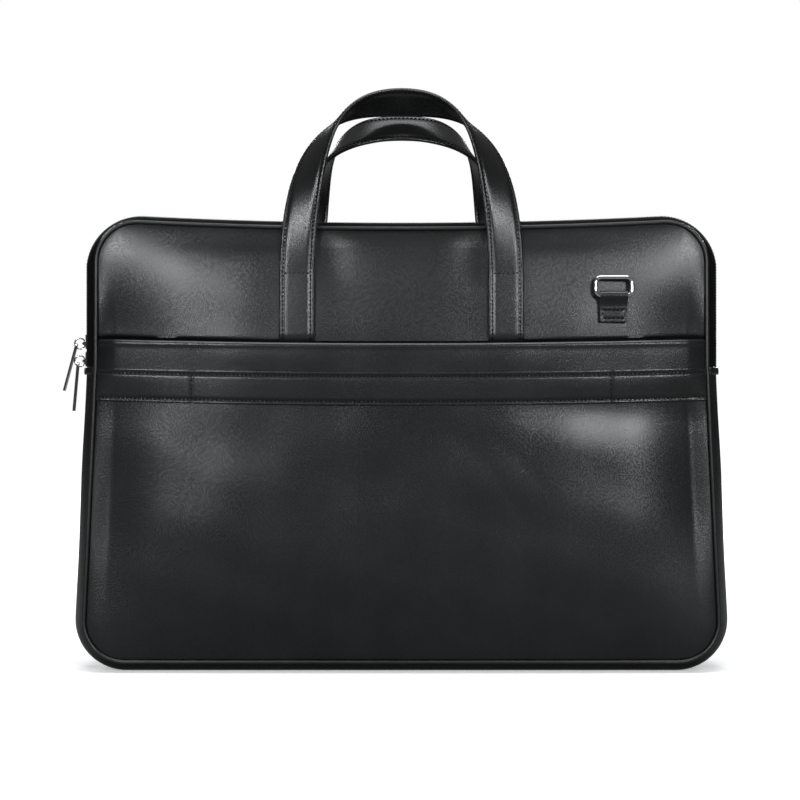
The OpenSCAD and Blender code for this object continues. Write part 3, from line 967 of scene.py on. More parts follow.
@dataclass
class Panels:
    """The two large leather panels, the front pocket and the luggage band."""

    pattern: Pattern
    wardrobe: Wardrobe
    inset: float = 0.0029
    leather: float = 0.0014
    lining: float = 0.0005
    band_t: float = 0.0018
    band_gap: float = 0.0003
    band_rows: tuple = (0.0026, 0.0021)
    band_gather: float = 0.2
    upright_x: float = 0.130
    hem_depth: float = 0.012
    thread_lift: float = 0.00018
    row_depth: float = 0.0008
    row_w: float = 0.0009
    upright_depth: float = 0.0005
    upright_w: float = 0.0008
    puff: float = 0.0006
    roll: float = 0.0005
    roll_below: float = 0.0022
    roll_w: float = 0.0016
    rounding: float = 0.0009
    rounding_w: float = 0.0006

    def _sheet(self, name: str, cells: tuple, low: float, high: Callable, face: Callable,
               soft: Softness, side: Side = Side.FRONT) -> bpy.types.Object:
        """A curved sheet between two heights.

        Args:
            name: the piece's name.
            cells: its cells across and up.
            low: the height of its lowest row.
            high: gives the height of its top edge at each x.
            face: gives the distance of its face from the middle plane at x and z.
            soft: the leather's waves and creases.
            side: which way it faces.
        Returns:
            The sheet, without thickness, facing outwards.
        """
        p = self.pattern

        def shape(u: Array, v: Array) -> Array:
            """Places of the sheet's vertices.

            Args:
                u: places across it.
                v: places up it.
            Returns:
                One place a row.
            """
            top = float(high(np.array(p.side_w * 2)))
            z = low + (top - low) * (gathered(v, 0.35) + 1) / 2
            x = gathered(u, 0.5) * p.edge(z, self.inset)
            h = z - (top - high(x)) * np.clip((z - p.mouth_z) / (top - p.mouth_z), 0, 1)
            y = face(x, z) + soft.height(x, z) * p.fullness(x, z)
            return line(-side.value * x, side.value * y, h)

        return face_away(shaped_grid(name, *cells, shape), MIDDLE)

    def top_edge(self, x: Array) -> Array:
        """Height of a panel's top edge."""
        return self.pattern.seam_high - self.inset - self.pattern.sag(x)

    def front(self) -> None:
        """The front panel, one piece of leather over the whole front."""
        p = self.pattern
        obj = self._sheet("front_leather_panel", (130, 190), p.seam_low + self.inset,
                          self.top_edge, p.front_face, Softness(0.00055))
        smooth(dress(thicken(obj, self.leather), self.wardrobe.leather))
        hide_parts("front_panel_upper", "front_panel_lower")
        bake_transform(obj)

    def back(self) -> None:
        """The back panel."""
        p = self.pattern
        soft = Softness(0.0005, ((-0.09, 0.15, 0.05, 0.12, 0.0003, 0.006),))
        obj = self._sheet("back_leather_panel", (150, 110), p.seam_low + self.inset,
                          self.top_edge, p.back_face, soft, Side.BACK)
        smooth(dress(thicken(obj, self.leather), self.wardrobe.leather))
        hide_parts("back_panel")
        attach(obj, "shell")

    def pocket_surface(self, x: Array, z: Array) -> Array:
        """The pocket's face, with its folded edge rolled at the top.

        Args:
            x: places across the bag.
            z: heights.
        Returns:
            The distances from the bag's middle plane.
        """
        p = self.pattern
        below = p.pocket_z - z
        roll = self.roll * hump(below - self.roll_below, self.roll_w)
        rounding = self.rounding * np.exp(-below / self.rounding_w)
        return p.pocket_face(x, z) + np.where(z > p.mouth_z, roll - rounding, 0.0)

    def pocket(self) -> None:
        """The slip pocket across the lower front, and its lining."""
        p = self.pattern
        soft = Softness(0.0006, (
            (0.030, 0.152, 0.085, 0.092, 0.00016, 0.0045),
            (0.055, 0.148, 0.098, 0.110, 0.00012, 0.004),
            (-0.120, 0.070, -0.060, 0.040, 0.00012, 0.006),
            (0.110, 0.135, 0.150, 0.105, 0.00010, 0.006),
            (-0.150, 0.150, -0.110, 0.125, 0.00012, 0.005)))
        low = p.seam_low + self.inset
        obj = self._sheet("pocket_leather", (170, 130), low, p.pocket_edge, self.pocket_surface,
                          soft)
        smooth(dress(thicken(obj, self.leather, 0.0005), self.wardrobe.leather))
        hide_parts("pocket_panel", "pocket_top")
        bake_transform(obj)
        cloth = self._sheet("pocket_lining_cloth", (60, 50), low,
                            lambda x: p.pocket_edge(x) - self.hem_depth,
                            lambda x, z: p.pocket_face(x, z) - self.leather - 0.0002,
                            Softness(0.0006))
        smooth(dress(thicken(cloth, self.lining), self.wardrobe.lining))
        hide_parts("pocket_lining")
        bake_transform(cloth)

    def band(self) -> None:
        """The luggage band across the pocket, its edges folded and sewn, and its stitching."""
        p = self.pattern
        low, high = (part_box("luggage_band")[k][2] for k in (0, 1))
        height = high - low - p.droop

        def surface(u: Array, v: Array) -> Array:
            """Places on the band's face.

            Args:
                u: places along it.
                v: places up it.
            Returns:
                One place a row.
            """
            z = high - height * (1 - gathered(v, self.band_gather)) / 2
            x = u * p.edge(z, self.inset)
            below = high - z
            row = self.row_depth * (hump(below - self.band_rows[0], self.row_w)
                                    + hump(height - below - self.band_rows[1], self.row_w))
            for mark in (-self.upright_x, self.upright_x):
                row = row + self.upright_depth * hump(x - mark, self.upright_w)
            puff = self.puff * np.sin(math.pi * np.clip(below / height, 0, 1)) ** 0.6
            y = p.pocket_face(x, z) + self.band_gap + self.band_t + puff - row
            y = y + Softness().height(x, z) * p.fullness(x, z)
            return line(x, -y, z - p.pocket_z + p.pocket_edge(x))

        obj = face_away(shaped_grid("luggage_band_leather", 340, 30, surface), MIDDLE)
        thicken(obj, self.band_t + self.puff, 0.0006)
        smooth(dress(obj, self.wardrobe.leather))
        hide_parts("luggage_band")
        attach(obj, "shell")

        along = np.linspace(-0.995, 0.995, 600)
        upright = np.linspace(-0.72, 0.72, 60)
        mark = self.upright_x / float(p.edge(np.array(high), self.inset))
        lines = [(along, np.full_like(along, self._band_v(distance / height)))
                 for distance in (self.band_rows[0], height - self.band_rows[1])]
        lines += [(np.full_like(upright, u), upright) for u in (-mark, mark)]
        rows = []
        for number, (u, v) in enumerate(lines):
            out = normals_of(surface, u, v)
            rows.append(sew(f"band_row_{number}", surface(u, v) + self.thread_lift * out, out))
        thread = dress(join("band_stitching", rows), self.wardrobe.thread)
        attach(thread, "shell")

    def _band_v(self, share: float) -> float:
        """The v at which the band's face is a share of its height below its top edge."""
        v = np.linspace(-1, 1, 2001)
        return float(np.interp(-share, -(1 - gathered(v, self.band_gather)) / 2, v))

    def build(self) -> None:
        """Makes all the panels."""
        self.front()
        self.back()
        self.pocket()
        self.band()


# ---------------------------------------------------------------- seams, gussets and zip


@dataclass
class Seams:
    """The piping round both panels, the gussets between them and the hems at the zip's ends."""

    pattern: Pattern
    wardrobe: Wardrobe
    leather: float = 0.0014
    hem_h: float = 0.0046
    hem_t: float = 0.0016
    hem_gap: float = 0.0002

    def _outline_all(self, t: Array) -> tuple:
        """The whole closed outline.

        Args:
            t: from -1 to 1 right round it, starting at a zip end.
        Returns:
            x, z and the outward direction's x and z at each t.
        """
        upper = self.pattern.outline(-1 - 2 * t, True)
        lower = self.pattern.outline(-1 + 2 * t, False)
        return tuple(np.where(t < 0, a, b) for a, b in zip(upper, lower))

    def piping(self, side: Side) -> bpy.types.Object:
        """A bead of piping right round a panel.

        Args:
            side: which panel.
        Returns:
            The bead.
        """
        p = self.pattern

        def shape(u: Array, v: Array) -> Array:
            """Places on the bead.

            Args:
                u: places along it.
                v: places round it.
            Returns:
                One place a row.
            """
            x, z, nx, nz = self._outline_all(u)
            a = v * math.pi
            out = p.piping_r * (np.cos(a) - 1)
            y = side.value * p.seam_half(z) + p.piping_r * np.sin(a)
            return line(x + nx * out, y, z + nz * out)

        obj = closed(shaped_grid(f"{side.name.lower()}_piping_bead", 720, 12, shape))
        return smooth(dress(obj, self.wardrobe.piping), 80)

    def gusset(self) -> None:
        """The leather gusset from one zip end, under the base, to the other."""
        p = self.pattern

        def shape(u: Array, v: Array) -> Array:
            """Places on the gusset's outer face.

            Args:
                u: places along it.
                v: places across it.
            Returns:
                One place a row.
            """
            x, z, nx, nz = p.outline(u, False)
            y = gathered(v, 0.4) * (p.seam_half(z) - SEAM_GAP)
            out = p.dome(z, nz, y)
            ripple = 0.0004 * np.sin(41 * z + 60 * y) * np.cos(23 * z - 33 * y) * (nz > -0.3)
            return line(x + nx * (out + ripple), y, z + nz * (out + ripple))

        obj = face_away(shaped_grid("gusset_leather", 360, 36, shape), BASE_MIDDLE)
        smooth(dress(thicken(obj, self.leather), self.wardrobe.leather))
        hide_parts("left_gusset", "right_gusset", "base_gusset")
        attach(obj, "shell")

    def hems(self) -> None:
        """The folded hem over each end of the zip."""
        p = self.pattern
        middle = p.mouth_z - self.hem_gap - self.hem_h / 2
        reach = p.seam_half(np.array(p.mouth_z)) - p.piping_r - SEAM_GAP
        parts = []
        for hand in (-1, 1):
            def shape(u: Array, v: Array, hand: int = hand) -> Array:
                """Places round the hem, which is a flat roll across the gusset.

                Args:
                    u: places across the gusset.
                    v: places round the roll.
                    hand: the zip end, -1 or 1.
                Returns:
                    One place a row.
                """
                y = u * reach
                z = middle + self.hem_h / 2 * squared(np.sin(v * math.pi), 0.6)
                thick = self.hem_t * (0.5 + 0.5 * squared(np.cos(v * math.pi), 0.6))
                return line(hand * (p.side(z) + p.dome(z, np.zeros_like(y), y) + thick), y, z)

            parts.append(closed(shaped_grid(f"hem_{hand}", 40, 16, shape), caps=True))
        obj = join("zip_end_hem_leather", parts)
        smooth(dress(obj, self.wardrobe.leather), 70)
        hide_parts("zip_end_hems")
        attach(obj, "shell")

    def build(self) -> None:
        """Makes the seams."""
        bead = self.piping(Side.FRONT)
        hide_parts("front_piping_upper", "front_piping_lower")
        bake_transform(bead)
        bead = self.piping(Side.BACK)
        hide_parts("back_piping")
        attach(bead, "shell")
        self.gusset()
        self.hems()


@dataclass
class Zip:
    """The zip's two tapes and coils."""

    pattern: Pattern
    wardrobe: Wardrobe
    coil_half: float = 0.0022
    coil_t: float = 0.0014
    proud: float = 0.0010
    pitch: float = 0.0018
    tape_t: float = 0.0008
    tape_under: float = 0.001
    tape_tail: float = 0.010
    tuck: float = 0.0004
    rib: float = 0.0003
    rib_at: float = 0.0035
    rib_w: float = 0.0009
    turn_share: float = 0.50
    turn_bevel: float = 0.00034
    turn_slope: float = 0.0003
    centre_gap: float = 0.00012

    def tape(self, side: Side) -> bpy.types.Object:
        """One tape, from under its coil to the seam.

        Args:
            side: the half of the zip.
        Returns:
            The tape.
        """
        p = self.pattern

        def shape(u: Array, v: Array) -> Array:
            """Places on the tape's outer face.

            Args:
                u: places along it.
                v: places across it.
            Returns:
                One place a row.
            """
            x, z, nx, nz = p.outline(u, True)
            inner = self.coil_half - self.tuck
            y = inner + (v + 1) / 2 * (p.seam_half(z) - SEAM_GAP - inner)
            rib = self.rib * hump(y - inner - self.rib_at, self.rib_w)
            out = p.dome(z, nz, y) - 0.0006 * np.exp(-(y - inner) / 0.001) + rib
            return line(x + nx * out, side.value * y, z + nz * out)

        obj = shaped_grid(f"{side.name.lower()}_zip_tape_cloth", 300, 20, shape)
        face_away(obj, MIDDLE)
        length = 2 * (p.seam_high - p.mouth_z) + 2 * p.side_w - CORNER_SAVING * 2 * p.corner_r
        p.seam_half(np.array(p.seam_high)) + self.tape_under
        length + 2 * self.tape_tail
        return smooth(dress(thicken(obj, self.tape_t), self.wardrobe.tape))

    def tooth(self) -> bpy.types.Object:
        """One turn of a coil: x along the zip, y across it, z out of it.

        Returns:
            The turn.
        """
        bpy.ops.object.select_all(action="DESELECT")
        bpy.ops.mesh.primitive_cube_add(size=1.0)
        obj = bpy.context.object
        width = self.coil_half - self.centre_gap
        for v in obj.data.vertices:
            x, y, z = v.co
            slope = self.turn_slope if y > 0 else 0.0
            v.co = (x * self.pitch * self.turn_share, y * width, z * self.coil_t - slope)
        return apply(obj, "BEVEL", width=self.turn_bevel, segments=1)

    def coil(self, side: Side) -> bpy.types.Object:
        """One coil of the zip.

        Args:
            side: the half of the zip.
        Returns:
            The coil.
        """
        p = self.pattern
        fine = np.linspace(-1, 1, 4001)
        run = run_of(np.stack(p.outline(fine, True)[:2], axis=1))
        count = int(run[-1] / self.pitch)
        at = (np.arange(count) + 0.5) * run[-1] / count
        x, z, nx, nz = p.outline(np.interp(at, run, fine), True)
        out = p.dome(z, nz, np.zeros_like(z)) + self.proud - self.coil_t / 2
        y = side.value * (self.coil_half + self.centre_gap) / 2
        place = line(x + nx * out, y, z + nz * out)
        along = line(nz, 0.0, -nx)
        across = line(0.0, float(side.value), np.zeros_like(z))
        outward = line(nx, 0.0, nz)
        turns = np.stack([along * side.value, across, outward], axis=2)
        obj = copies(f"{side.name.lower()}_coil_turns", self.tooth(), place, turns)
        return dress(obj, self.wardrobe.coil)

    def build(self) -> None:
        """Makes the zip's two halves; the back half goes with the shell."""
        for make, word in ((self.tape, "tape"), (self.coil, "coil")):
            front, back = make(Side.FRONT), make(Side.BACK)
            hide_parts(f"front_zip_{word}")
            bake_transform(front)
            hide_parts(f"back_zip_{word}")
            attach(back, "shell")


# ---------------------------------------------------------------- handles


@dataclass
class Handle:
    """One folded strap with its sewn ends, its edge stitching and its two cross rows."""

    pattern: Pattern
    wardrobe: Wardrobe
    side: Side
    node: str
    anchors: str
    lean: float
    twist: float
    turned: float
    round: float
    shoulder: float = 0.9
    shoulder_in: float = 0.0024
    strap_w: float = 0.022
    strap_t: float = 0.0032
    gap: float = 0.00015
    row: float = 0.0024
    groove: float = 0.0006
    groove_w: float = 0.0008
    bend: tuple = (-0.001, 0.014)
    stations: int = 130

    def __post_init__(self) -> None:
        """Reads the strap's places from its nodes."""
        arch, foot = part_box(self.node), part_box(self.anchors)
        self.x = foot[1][0] - self.strap_w / 2
        self.fold_z = arch[0][2] - 0.0003
        self.foot_z = foot[0][2]
        turn = math.radians(self.twist - 90)
        corner = math.sin(turn) * self.strap_w / 2 + math.cos(turn) * self.strap_t / 2
        self.top = arch[1][2] - corner

    @property
    def hand(self) -> Array:
        """What turns a place on the front strap into its place on this strap."""
        return np.array([1.0, -float(self.side.value), 1.0])

    def _face(self, z: Array) -> Array:
        """Distance of the panel under the strap from the middle plane.

        Args:
            z: heights.
        Returns:
            The distances.
        """
        p = self.pattern
        face = p.front_face if self.side is Side.FRONT else p.back_face
        return face(np.full_like(z, self.x), z)

    def frames(self) -> tuple:
        """One half of the strap, from a foot to the middle of the arch.

        Returns:
            Places along it, with the directions along, across and through it.
        """
        reach = self._face(np.array([self.fold_z]))[0] + self.gap + self.strap_t / 2
        low = np.linspace(self.foot_z, self.fold_z, 24)[:-1]
        y_low = -(self._face(low) + self.gap + self.strap_t / 2)
        shoulder_z = self.fold_z + self.shoulder * (self.top - self.fold_z)
        path = np.array([
            (self.x, -reach, self.fold_z), (self.x - self.shoulder_in, -reach, shoulder_z),
            (self.x - self.round, self.lean, self.top), (0.0, self.lean, self.top)])
        t = np.linspace(0, 1, self.stations)[:, None]
        s = 1 - t
        arch = path[0] * s**3 + 3 * path[1] * s * s * t + 3 * path[2] * s * t * t + path[3] * t**3
        centre = np.vstack([line(np.full_like(low, self.x), y_low, low), arch])
        along = np.gradient(centre, axis=0)
        along[-1] = (-1, 0, 0)
        along /= np.linalg.norm(along, axis=1, keepdims=True)
        ahead = np.array([0.0, -1.0, 0.0]) - (-along[:, 1])[:, None] * along
        ahead /= np.linalg.norm(ahead, axis=1, keepdims=True)
        turn = np.radians(self.twist) * ease(t[:, 0] / self.turned) ** 0.85
        turn = np.concatenate([np.zeros(len(low)), turn])[:, None]
        wide = np.cos(turn) * np.cross(ahead, along) + np.sin(turn) * ahead
        return centre, along, wide, np.cross(wide, along)

    def whole(self) -> tuple:
        """Both halves in one run, with mirrored directions on the far half.

        Returns:
            Places along the strap, with the directions across and through it.
        """
        centre, _, wide, deep = self.frames()
        flip = np.array([-1.0, 1.0, 1.0])
        return (np.vstack([centre, centre[-2::-1] * flip]), np.vstack([wide, wide[-2::-1] * flip]),
                np.vstack([deep, deep[-2::-1] * flip]))

    def surface(self, u: Array, v: Array) -> Array:
        """Places on the strap.

        Args:
            u: places along it.
            v: places round its section.
        Returns:
            One place a row.
        """
        centre, wide, deep = self.whole()
        stations = np.arange(len(centre))
        at = (u + 1) / 2 * stations[-1]
        across = squared(np.cos(v * math.pi), 0.42) * self.strap_w / 2
        inside = self.strap_w / 2 - np.abs(across)
        groove = self.groove * hump(inside - self.row, self.groove_w)
        through = squared(np.sin(v * math.pi), 0.55) * (self.strap_t / 2 - groove)
        points = (read(at, stations, centre) + read(at, stations, wide) * across[:, None]
                  + read(at, stations, deep) * through[:, None])
        return points * self.hand

    def stitches(self) -> bpy.types.Object:
        """Edge rows along both faces of the strap, and the cross rows at its folds.

        Returns:
            The stitching.
        """
        centre, wide, deep = self.whole()
        reach = self.strap_w / 2 - self.row
        shallow = self.strap_t / 2 - 0.0003
        lines = [(centre + wide * edge * reach + deep * face * shallow, deep * face)
                 for edge in (-1, 1) for face in (-1, 1)]
        foot = int(np.argmin(np.abs(centre[: len(centre) // 2, 2] - self.fold_z)))
        for index in (foot, len(centre) - 1 - foot):
            out = deep[index] * (-1 if deep[index][1] > 0 else 1)
            row = centre[index] + wide[index] * np.linspace(-reach, reach, 30)[:, None]
            lines.append((row + out * (self.strap_t / 2 + 0.0001), np.tile(out, (30, 1))))
        rows = [sew(f"{self.node}_row_{number}", points * self.hand, normals * self.hand)
                for number, (points, normals) in enumerate(lines)]
        return join(f"{self.node}_stitching", rows)

    def build(self) -> None:
        """Makes the strap and its stitching."""
        obj = closed(shaped_grid(f"{self.node}_strap", 300, 44, self.surface), caps=True)
        smooth(dress(obj, self.wardrobe.strap), 70)
        thread = dress(self.stitches(), self.wardrobe.thread)
        y = self.side.value * (self._face(np.array([self.fold_z]))[0] + self.strap_t)
        start, end = ((0, y, self.fold_z + rise) for rise in self.bend)
        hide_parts(self.node, self.anchors)
        for piece in (obj, thread):
            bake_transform(piece)


# ---------------------------------------------------------------- strap rings and their tabs


@dataclass
class RingTab:
    """A leather strip folded over a strap ring's lower bar and sewn below it."""

    wardrobe: Wardrobe
    side: Side
    leather: float = 0.0014
    wire_r: float = 0.0014
    wire_gap: float = 0.00015
    hem: float = 0.0022
    box_h: float = 0.0051
    margin: float = 0.0018
    groove: float = 0.0006

    def __post_init__(self) -> None:
        """Reads the tab's places from its node."""
        self.name = "front_ring_tab" if self.side is Side.FRONT else "rear_ring_tab"
        low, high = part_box(self.name)
        self.rear = min(abs(low[1]), abs(high[1]))
        self.face = self.rear + 2 * self.leather
        self.width = high[0] - low[0] - 0.0002
        self.middle = (low[0] + high[0]) / 2 * -self.side.value
        self.bottom = low[2]
        self.loop = self.wire_r + self.wire_gap + self.leather
        self.bar_y, self.bar_z = self.rear + self.loop, high[2] - self.loop
        self.box_low = self.bottom + self.hem
        self.box_top = self.box_low + self.box_h

    def _placed(self, x: Array, y: object, z: Array) -> Array:
        """Rows of places on this tab's side of the bag, y being the distance from its middle."""
        return line(-self.side.value * (x + self.middle), self.side.value * y, z)

    def _path(self) -> Array:
        """The strip from the side: up at the back, over the bar, in below it and down.

        Returns:
            Rows of y and z.
        """
        back = [(self.rear, z) for z in np.linspace(self.bottom, self.bar_z, 12)[:-1]]
        over = [(self.bar_y + self.loop * math.cos(a), self.bar_z + self.loop * math.sin(a))
                for a in np.linspace(math.pi, -0.15 * math.pi, 25)]
        under = [(self.face + 0.0010, self.bar_z - 0.0037),
                 (self.face + 0.0002, self.bar_z - 0.0054)]
        down = [(self.face, z) for z in np.linspace(self.bar_z - 0.0065, self.bottom, 26)]
        return np.array(back + over + under + down)

    def strip(self) -> bpy.types.Object:
        """The folded strip, grooved where it is sewn.

        Returns:
            The strip.
        """
        path = self._path()
        run = run_of(path)

        def surface(u: Array, v: Array) -> Array:
            """Places on the outside of the folded strip.

            Args:
                u: places across it.
                v: places along it.
            Returns:
                One place a row.
            """
            at = (v + 1) / 2 * run[-1]
            y, z = read(at, run, path).T
            x = u * self.width / 2
            inside = self.width / 2 - np.abs(x)
            sides = hump(inside - self.margin, self.groove) * (z < self.box_top)
            rows = (hump(z - self.box_top, self.groove) + hump(z - self.box_low, self.groove))
            dent = 0.0003 * np.minimum(1, sides + rows * (inside > 0.0015))
            return self._placed(x, y - np.where(at > run[-1] * 0.6, dent, 0.0), z)

        obj = shaped_grid(f"{self.name}_leather", 40, 150, surface)
        centre = (-self.side.value * self.middle, self.side.value * self.bar_y, self.bar_z - 0.004)
        thicken(face_away(obj, centre), self.leather - 0.0001, 0.0003)
        return smooth(dress(obj, self.wardrobe.strap))

    def stitches(self) -> bpy.types.Object:
        """The box of stitches that holds the strip to the panel.

        Returns:
            The stitching.
        """
        x, low, top = self.width / 2 - self.margin, self.box_low, self.box_top
        corners = np.array([(-x, low), (x, low), (x, top), (-x, top), (-x, low)])
        out = np.tile((0.0, float(self.side.value), 0.0), (20, 1))
        rows = []
        for number, (a, b) in enumerate(zip(corners[:-1], corners[1:])):
            flat = a + (b - a) * np.linspace(0.02, 0.98, 20)[:, None]
            points = self._placed(flat[:, 0], self.face - 0.0001, flat[:, 1])
            rows.append(sew(f"{self.name}_{number}", points, out))
        return dress(join(f"{self.name}_stitching", rows), self.wardrobe.thread)

    def build(self) -> None:
        """Makes the tab and its box of stitches."""
        body = "front_mouth" if self.side is Side.FRONT else "shell"
        obj = self.strip()
        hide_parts(self.name)
        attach(obj, body)
        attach(self.stitches(), body)


# ---------------------------------------------------------------- inside


@dataclass
class Interior:
    """The padding, linings and padded divider."""

    pattern: Pattern
    wardrobe: Wardrobe
    inset: float = 0.0063
    leather: float = 0.0014
    gap: float = 0.0003
    foam: float = 0.004
    lining: float = 0.0005
    binding_t: float = 0.0012

    def _layer(self, name: str, side: Side, depth: float, cells: tuple) -> bpy.types.Object:
        """A curved layer behind a panel.

        Args:
            name: the piece's name.
            side: which panel.
            depth: how far it lies under the panel's face.
            cells: its cells across and up.
        Returns:
            The layer, without thickness, facing outwards.
        """
        p = self.pattern
        face = p.front_face if side is Side.FRONT else p.back_face

        def shape(u: Array, v: Array) -> Array:
            """Places on the layer's outer face.

            Args:
                u: places across it.
                v: places up it.
            Returns:
                One place a row.
            """
            low, top = p.seam_low + self.inset, p.seam_high - self.inset
            z = low + (top - low) * (gathered(v, 0.5) + 1) / 2
            x = gathered(u, 0.5) * p.edge(z, self.inset)
            h = z - p.sag(x) * np.clip((z - p.mouth_z) / (p.seam_high - p.mouth_z), 0, 1)
            return line(-side.value * x, side.value * (face(x, z) - depth), h)

        return face_away(shaped_grid(name, *cells, shape), MIDDLE)

    def layers(self, side: Side) -> None:
        """The foam and lining behind a panel.

        Args:
            side: which panel.
        """
        word = side.name.lower()
        foam = self._layer(f"{word}_padding", side, self.leather + self.gap, (60, 48))
        smooth(dress(thicken(foam, self.foam, 0.0008), self.wardrobe.foam))
        depth = self.leather + self.foam + 2 * self.gap
        cloth = self._layer(f"{word}_lining_cloth", side, depth, (80, 60))
        smooth(dress(thicken(cloth, self.lining), self.wardrobe.lining))
        if side is Side.FRONT:
            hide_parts("front_foam_lower", "front_foam_upper")
            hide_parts("front_lining_lower", "front_lining_upper")
            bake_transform(foam)
            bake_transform(cloth)
        else:
            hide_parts("back_foam")
            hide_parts("back_lining")
            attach(foam, "shell")
            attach(cloth, "shell")

    def gusset_lining(self) -> None:
        """The lining inside the gussets and over the base board."""
        p = self.pattern
        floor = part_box("gusset_lining")[0][2]

        def shape(u: Array, v: Array) -> Array:
            """Places on the lining's outer face.

            Args:
                u: places along it.
                v: places across it.
            Returns:
                One place a row.
            """
            x, z, nx, nz = p.outline(u, False)
            down = np.maximum(0, -nz)
            y = v * (p.seam_half(z) - p.piping_r - self.leather - self.gap)
            top = p.rise(nz) + (p.seam_low - floor - p.rise(nz)) * down + p.piping_r / 2
            share = np.minimum(1, np.abs(y) / (p.seam_half(z) - p.piping_r))
            out = top * (1 - share ** p.dome_power) - p.piping_r / 2
            out = out - (self.leather + self.gap) * (1 - down)
            return line(x + nx * out, y, z + nz * out)

        obj = face_away(shaped_grid("gusset_lining_cloth", 240, 16, shape), BASE_MIDDLE)
        smooth(dress(thicken(obj, self.lining), self.wardrobe.lining))
        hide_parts("gusset_lining")
        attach(obj, "shell")

    def divider(self) -> None:
        """The padded divider and the leather binding over its top edge."""
        p = self.pattern
        low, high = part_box("laptop_divider")
        _, y0, z0 = ((a + b) / 2 for a, b in zip(low, high))
        _, half, tall = ((b - a) / 2 for a, b in zip(low, high))

        def shape(u: Array, v: Array) -> Array:
            """Places round the pad.

            Args:
                u: places across it.
                v: places round its section.
            Returns:
                One place a row.
            """
            z = z0 + tall * squared(np.sin(v * math.pi), 0.5)
            x = u * (p.edge(np.maximum(z, p.seam_low + self.inset), self.inset) - 0.0004)
            thin = 0.55 + 0.45 * (1 - np.abs(u) ** 8)
            y = y0 + half * thin * squared(np.cos(v * math.pi), 0.35)
            return line(x, y, np.minimum(z, high[2]))

        obj = closed(shaped_grid("divider_pad", 90, 60, shape), caps=True)
        smooth(dress(obj, self.wardrobe.lining), 70)
        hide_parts("laptop_divider")
        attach(obj, "shell")
        self.binding()

    def binding(self) -> None:
        """The leather binding: a strip folded over the divider's top edge."""
        low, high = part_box("divider_binding")
        middle, half = (low[1] + high[1]) / 2, (high[1] - low[1]) / 2
        leg = high[2] - low[2] - half
        arc = math.pi * half

        def shape(u: Array, v: Array) -> Array:
            """Places on the binding's outer face.

            Args:
                u: places along it.
                v: places over it.
            Returns:
                One place a row.
            """
            at = (v + 1) / 2 * (2 * leg + arc)
            turn = np.clip((at - leg) / half, 0, math.pi)
            drop = np.maximum(leg - at, 0) + np.maximum(at - leg - arc, 0)
            z = high[2] - half + half * np.sin(turn) - drop
            return line(u * (high[0] - low[0]) / 2, middle + half * np.cos(turn), z)

        obj = shaped_grid("divider_binding_leather", 60, 40, shape)
        thicken(face_away(obj, (0, middle, low[2])), self.binding_t, 0.0003)
        smooth(dress(obj, self.wardrobe.strap))
        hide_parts("divider_binding")
        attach(obj, "shell")

    def build(self) -> None:
        """Makes everything inside."""
        for side in Side:
            self.layers(side)
        self.gusset_lining()
        self.divider()


# ---------------------------------------------------------------- metal


@dataclass
class Hardware:
    """The metal nodes of the frame, which keep their shape and get their polish."""

    frame: dict
    wardrobe: Wardrobe
    metal: tuple = ("front_strap_ring", "rear_strap_ring", "lower_slider", "upper_slider",
                    "lower_pull_ring", "upper_pull_ring", "lower_pull", "upper_pull")

    def build(self) -> None:
        """Polishes each metal node, and paints the base board."""
        for name in self.metal:
            self._paint(name, self.wardrobe.metal)
        self._paint("base_board", self.wardrobe.board)

    def _paint(self, name: str, material: bpy.types.Material) -> None:
        """Gives a node of the frame its material.

        Args:
            name: the node.
            material: its material.
        """
        for slot in self.frame["nodes"][name].material_slots:
            slot.material = material
        log.info("Hardware: %s", name)


# ---------------------------------------------------------------- studio


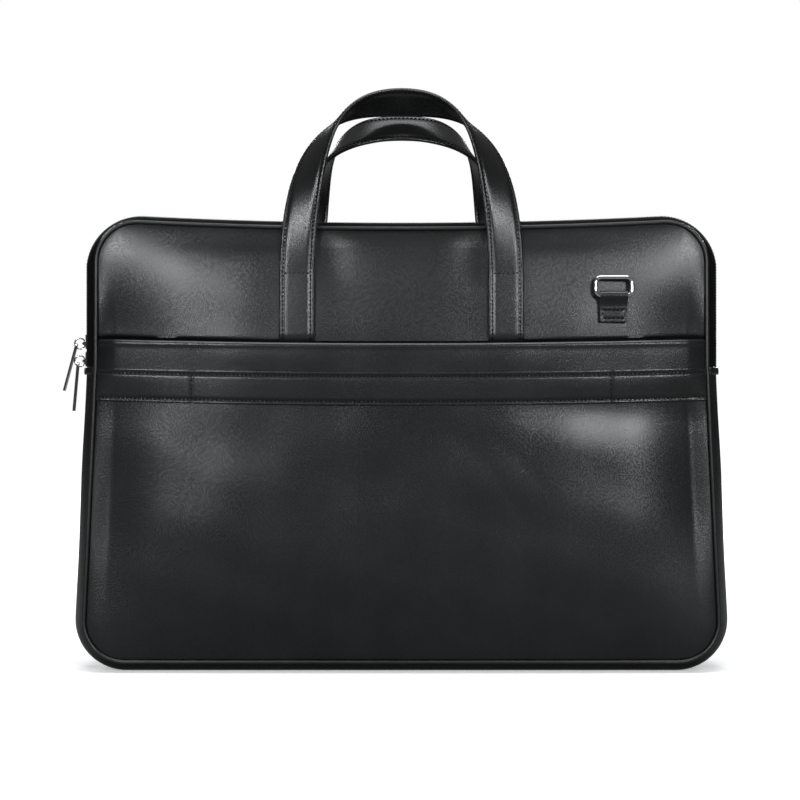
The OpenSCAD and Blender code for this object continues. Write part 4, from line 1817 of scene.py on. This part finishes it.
@dataclass
class Studio:
    """A pale floor, soft lights and the camera."""

    distance: float = 1.1
    eye: float = 0.171
    frame_width: float = 0.5022
    offset: float = -0.0009
    front: float = 0.025
    floor_glow: float = 0.92
    glow_near: float = 0.36
    glow_reach: tuple = (0.3, 1.0)
    floor_dim: float = 0.26
    room_low: float = 0.035
    room_high: float = 0.3
    aim_z: float = 0.18
    tint: tuple = (0.955, 0.98, 1.0)

    def camera(self) -> None:
        """A level camera in front of the bag."""
        data = bpy.data.cameras.new("camera")
        data.sensor_width = 36.0
        data.lens = data.sensor_width * self.distance / self.frame_width
        obj = bpy.data.objects.new("camera", data)
        obj.location = (self.offset, -self.front - self.distance, self.eye)
        obj.rotation_euler = (math.pi / 2, 0, 0)
        bpy.context.collection.objects.link(obj)
        bpy.context.scene.camera = obj

    def floor(self) -> None:
        """The pale floor, with a glow of its own so that it stays pale far from the lights."""
        bpy.ops.object.select_all(action="DESELECT")
        bpy.ops.mesh.primitive_plane_add(size=60.0, location=(0, 0, 0))
        obj = bpy.context.object
        obj.name = "studio_floor"
        g = Surface("pale_floor")
        far = g.add("ShaderNodeVectorMath", {"operation": "LENGTH"}, {0: g.object_place()}, "Value")
        near, wide = (self.glow_near,) * 3, (self.floor_glow,) * 3
        g.finish(Base_Color=(0.9, 0.9, 0.9, 1), Roughness=0.9, Specular_IOR_Level=0.0,
                 Emission_Color=g.mix(g.ramp(far, *self.glow_reach), near, wide),
                 Emission_Strength=1.0)
        dim = g.add("ShaderNodeBsdfDiffuse", {}, {"Color": (self.floor_dim,) * 3 + (1,)})
        g.put(g.output.node.inputs["Surface"], g.either(g.seen(), dim, g.shader))
        obj.data.materials.append(g.material)

    def light(self, name: str, place: Sequence[float], size: Sequence[float],
              radiance: float) -> None:
        """A soft rectangular light, turned to the middle of the bag.

        Args:
            name: its name.
            place: where it stands.
            size: its width and height.
            radiance: how bright its face is; 1 is white.
        """
        data = bpy.data.lights.new(name, "AREA")
        data.shape = "RECTANGLE"
        data.size, data.size_y = size
        data.energy = radiance * math.pi * size[0] * size[1]
        data.color = self.tint
        obj = bpy.data.objects.new(name, data)
        obj.location = place
        aim = Vector((0, 0, self.aim_z)) - Vector(place)
        obj.rotation_euler = aim.to_track_quat("-Z", "Y").to_euler()
        bpy.context.collection.objects.link(obj)

    def world(self) -> None:
        """A white backdrop, with a dimmer room round the bag that is lighter overhead."""
        world = bpy.data.worlds.new("studio")
        world.use_nodes = True
        bpy.context.scene.world = world
        g = Graph(world.node_tree)
        place = g.add("ShaderNodeTexCoord", {}, {}, "Generated")
        height = g.add("ShaderNodeSeparateXYZ", {}, {0: place}, "Z")
        dim = g.ramp(height, 0.1, 1.0, self.room_low, self.room_high)
        room = g.add("ShaderNodeBackground", {}, {"Color": dim})
        backdrop = g.add("ShaderNodeBackground", {}, {"Color": (1, 1, 1, 1)})
        g.add("ShaderNodeOutputWorld", {}, {"Surface": g.either(g.seen(), room, backdrop)})

    def build(self) -> None:
        """Sets the studio up."""
        self.camera()
        self.floor()
        self.world()
        self.light("key_left", (-0.90, -2.1, 0.78), (0.34, 0.28), 71.0)
        self.light("key_right", (0.96, -2.1, 0.74), (0.34, 0.28), 69.0)
        self.light("top", (0.0, -0.35, 1.9), (1.5, 0.7), 7.0)
        self.light("rear_left", (-0.95, 2.3, 0.95), (0.45, 0.40), 34.0)
        self.light("rear_right", (1.00, 2.3, 0.90), (0.45, 0.40), 30.0)
        bpy.context.scene.view_settings.view_transform = "Standard"


# ---------------------------------------------------------------- main


def main() -> None:
    """Builds the briefcase."""
    logging.basicConfig(level=logging.INFO, format="%(message)s")
    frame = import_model()
    Studio().build()
    pattern = Pattern.from_frame()
    wardrobe = Wardrobe()
    parts = [
        Panels(pattern, wardrobe), Seams(pattern, wardrobe), Zip(pattern, wardrobe),
        Handle(pattern, wardrobe, Side.FRONT, "front_handle", "front_handle_anchors", -0.009, 133.0,
               1.0, 0.032),
        Handle(pattern, wardrobe, Side.BACK, "rear_handle", "rear_handle_anchors", 0.0007, 141.0,
               0.85, 0.022),
        RingTab(wardrobe, Side.FRONT), RingTab(wardrobe, Side.BACK),
        Interior(pattern, wardrobe), Hardware(frame, wardrobe)]
    for part in parts:
        known = set(bpy.data.objects.keys())
        part.build()
        for name in sorted(set(bpy.data.objects.keys()) - known):
            log.info("%s: %s", type(part).__name__, name)


if __name__ == "__main__":
    main()
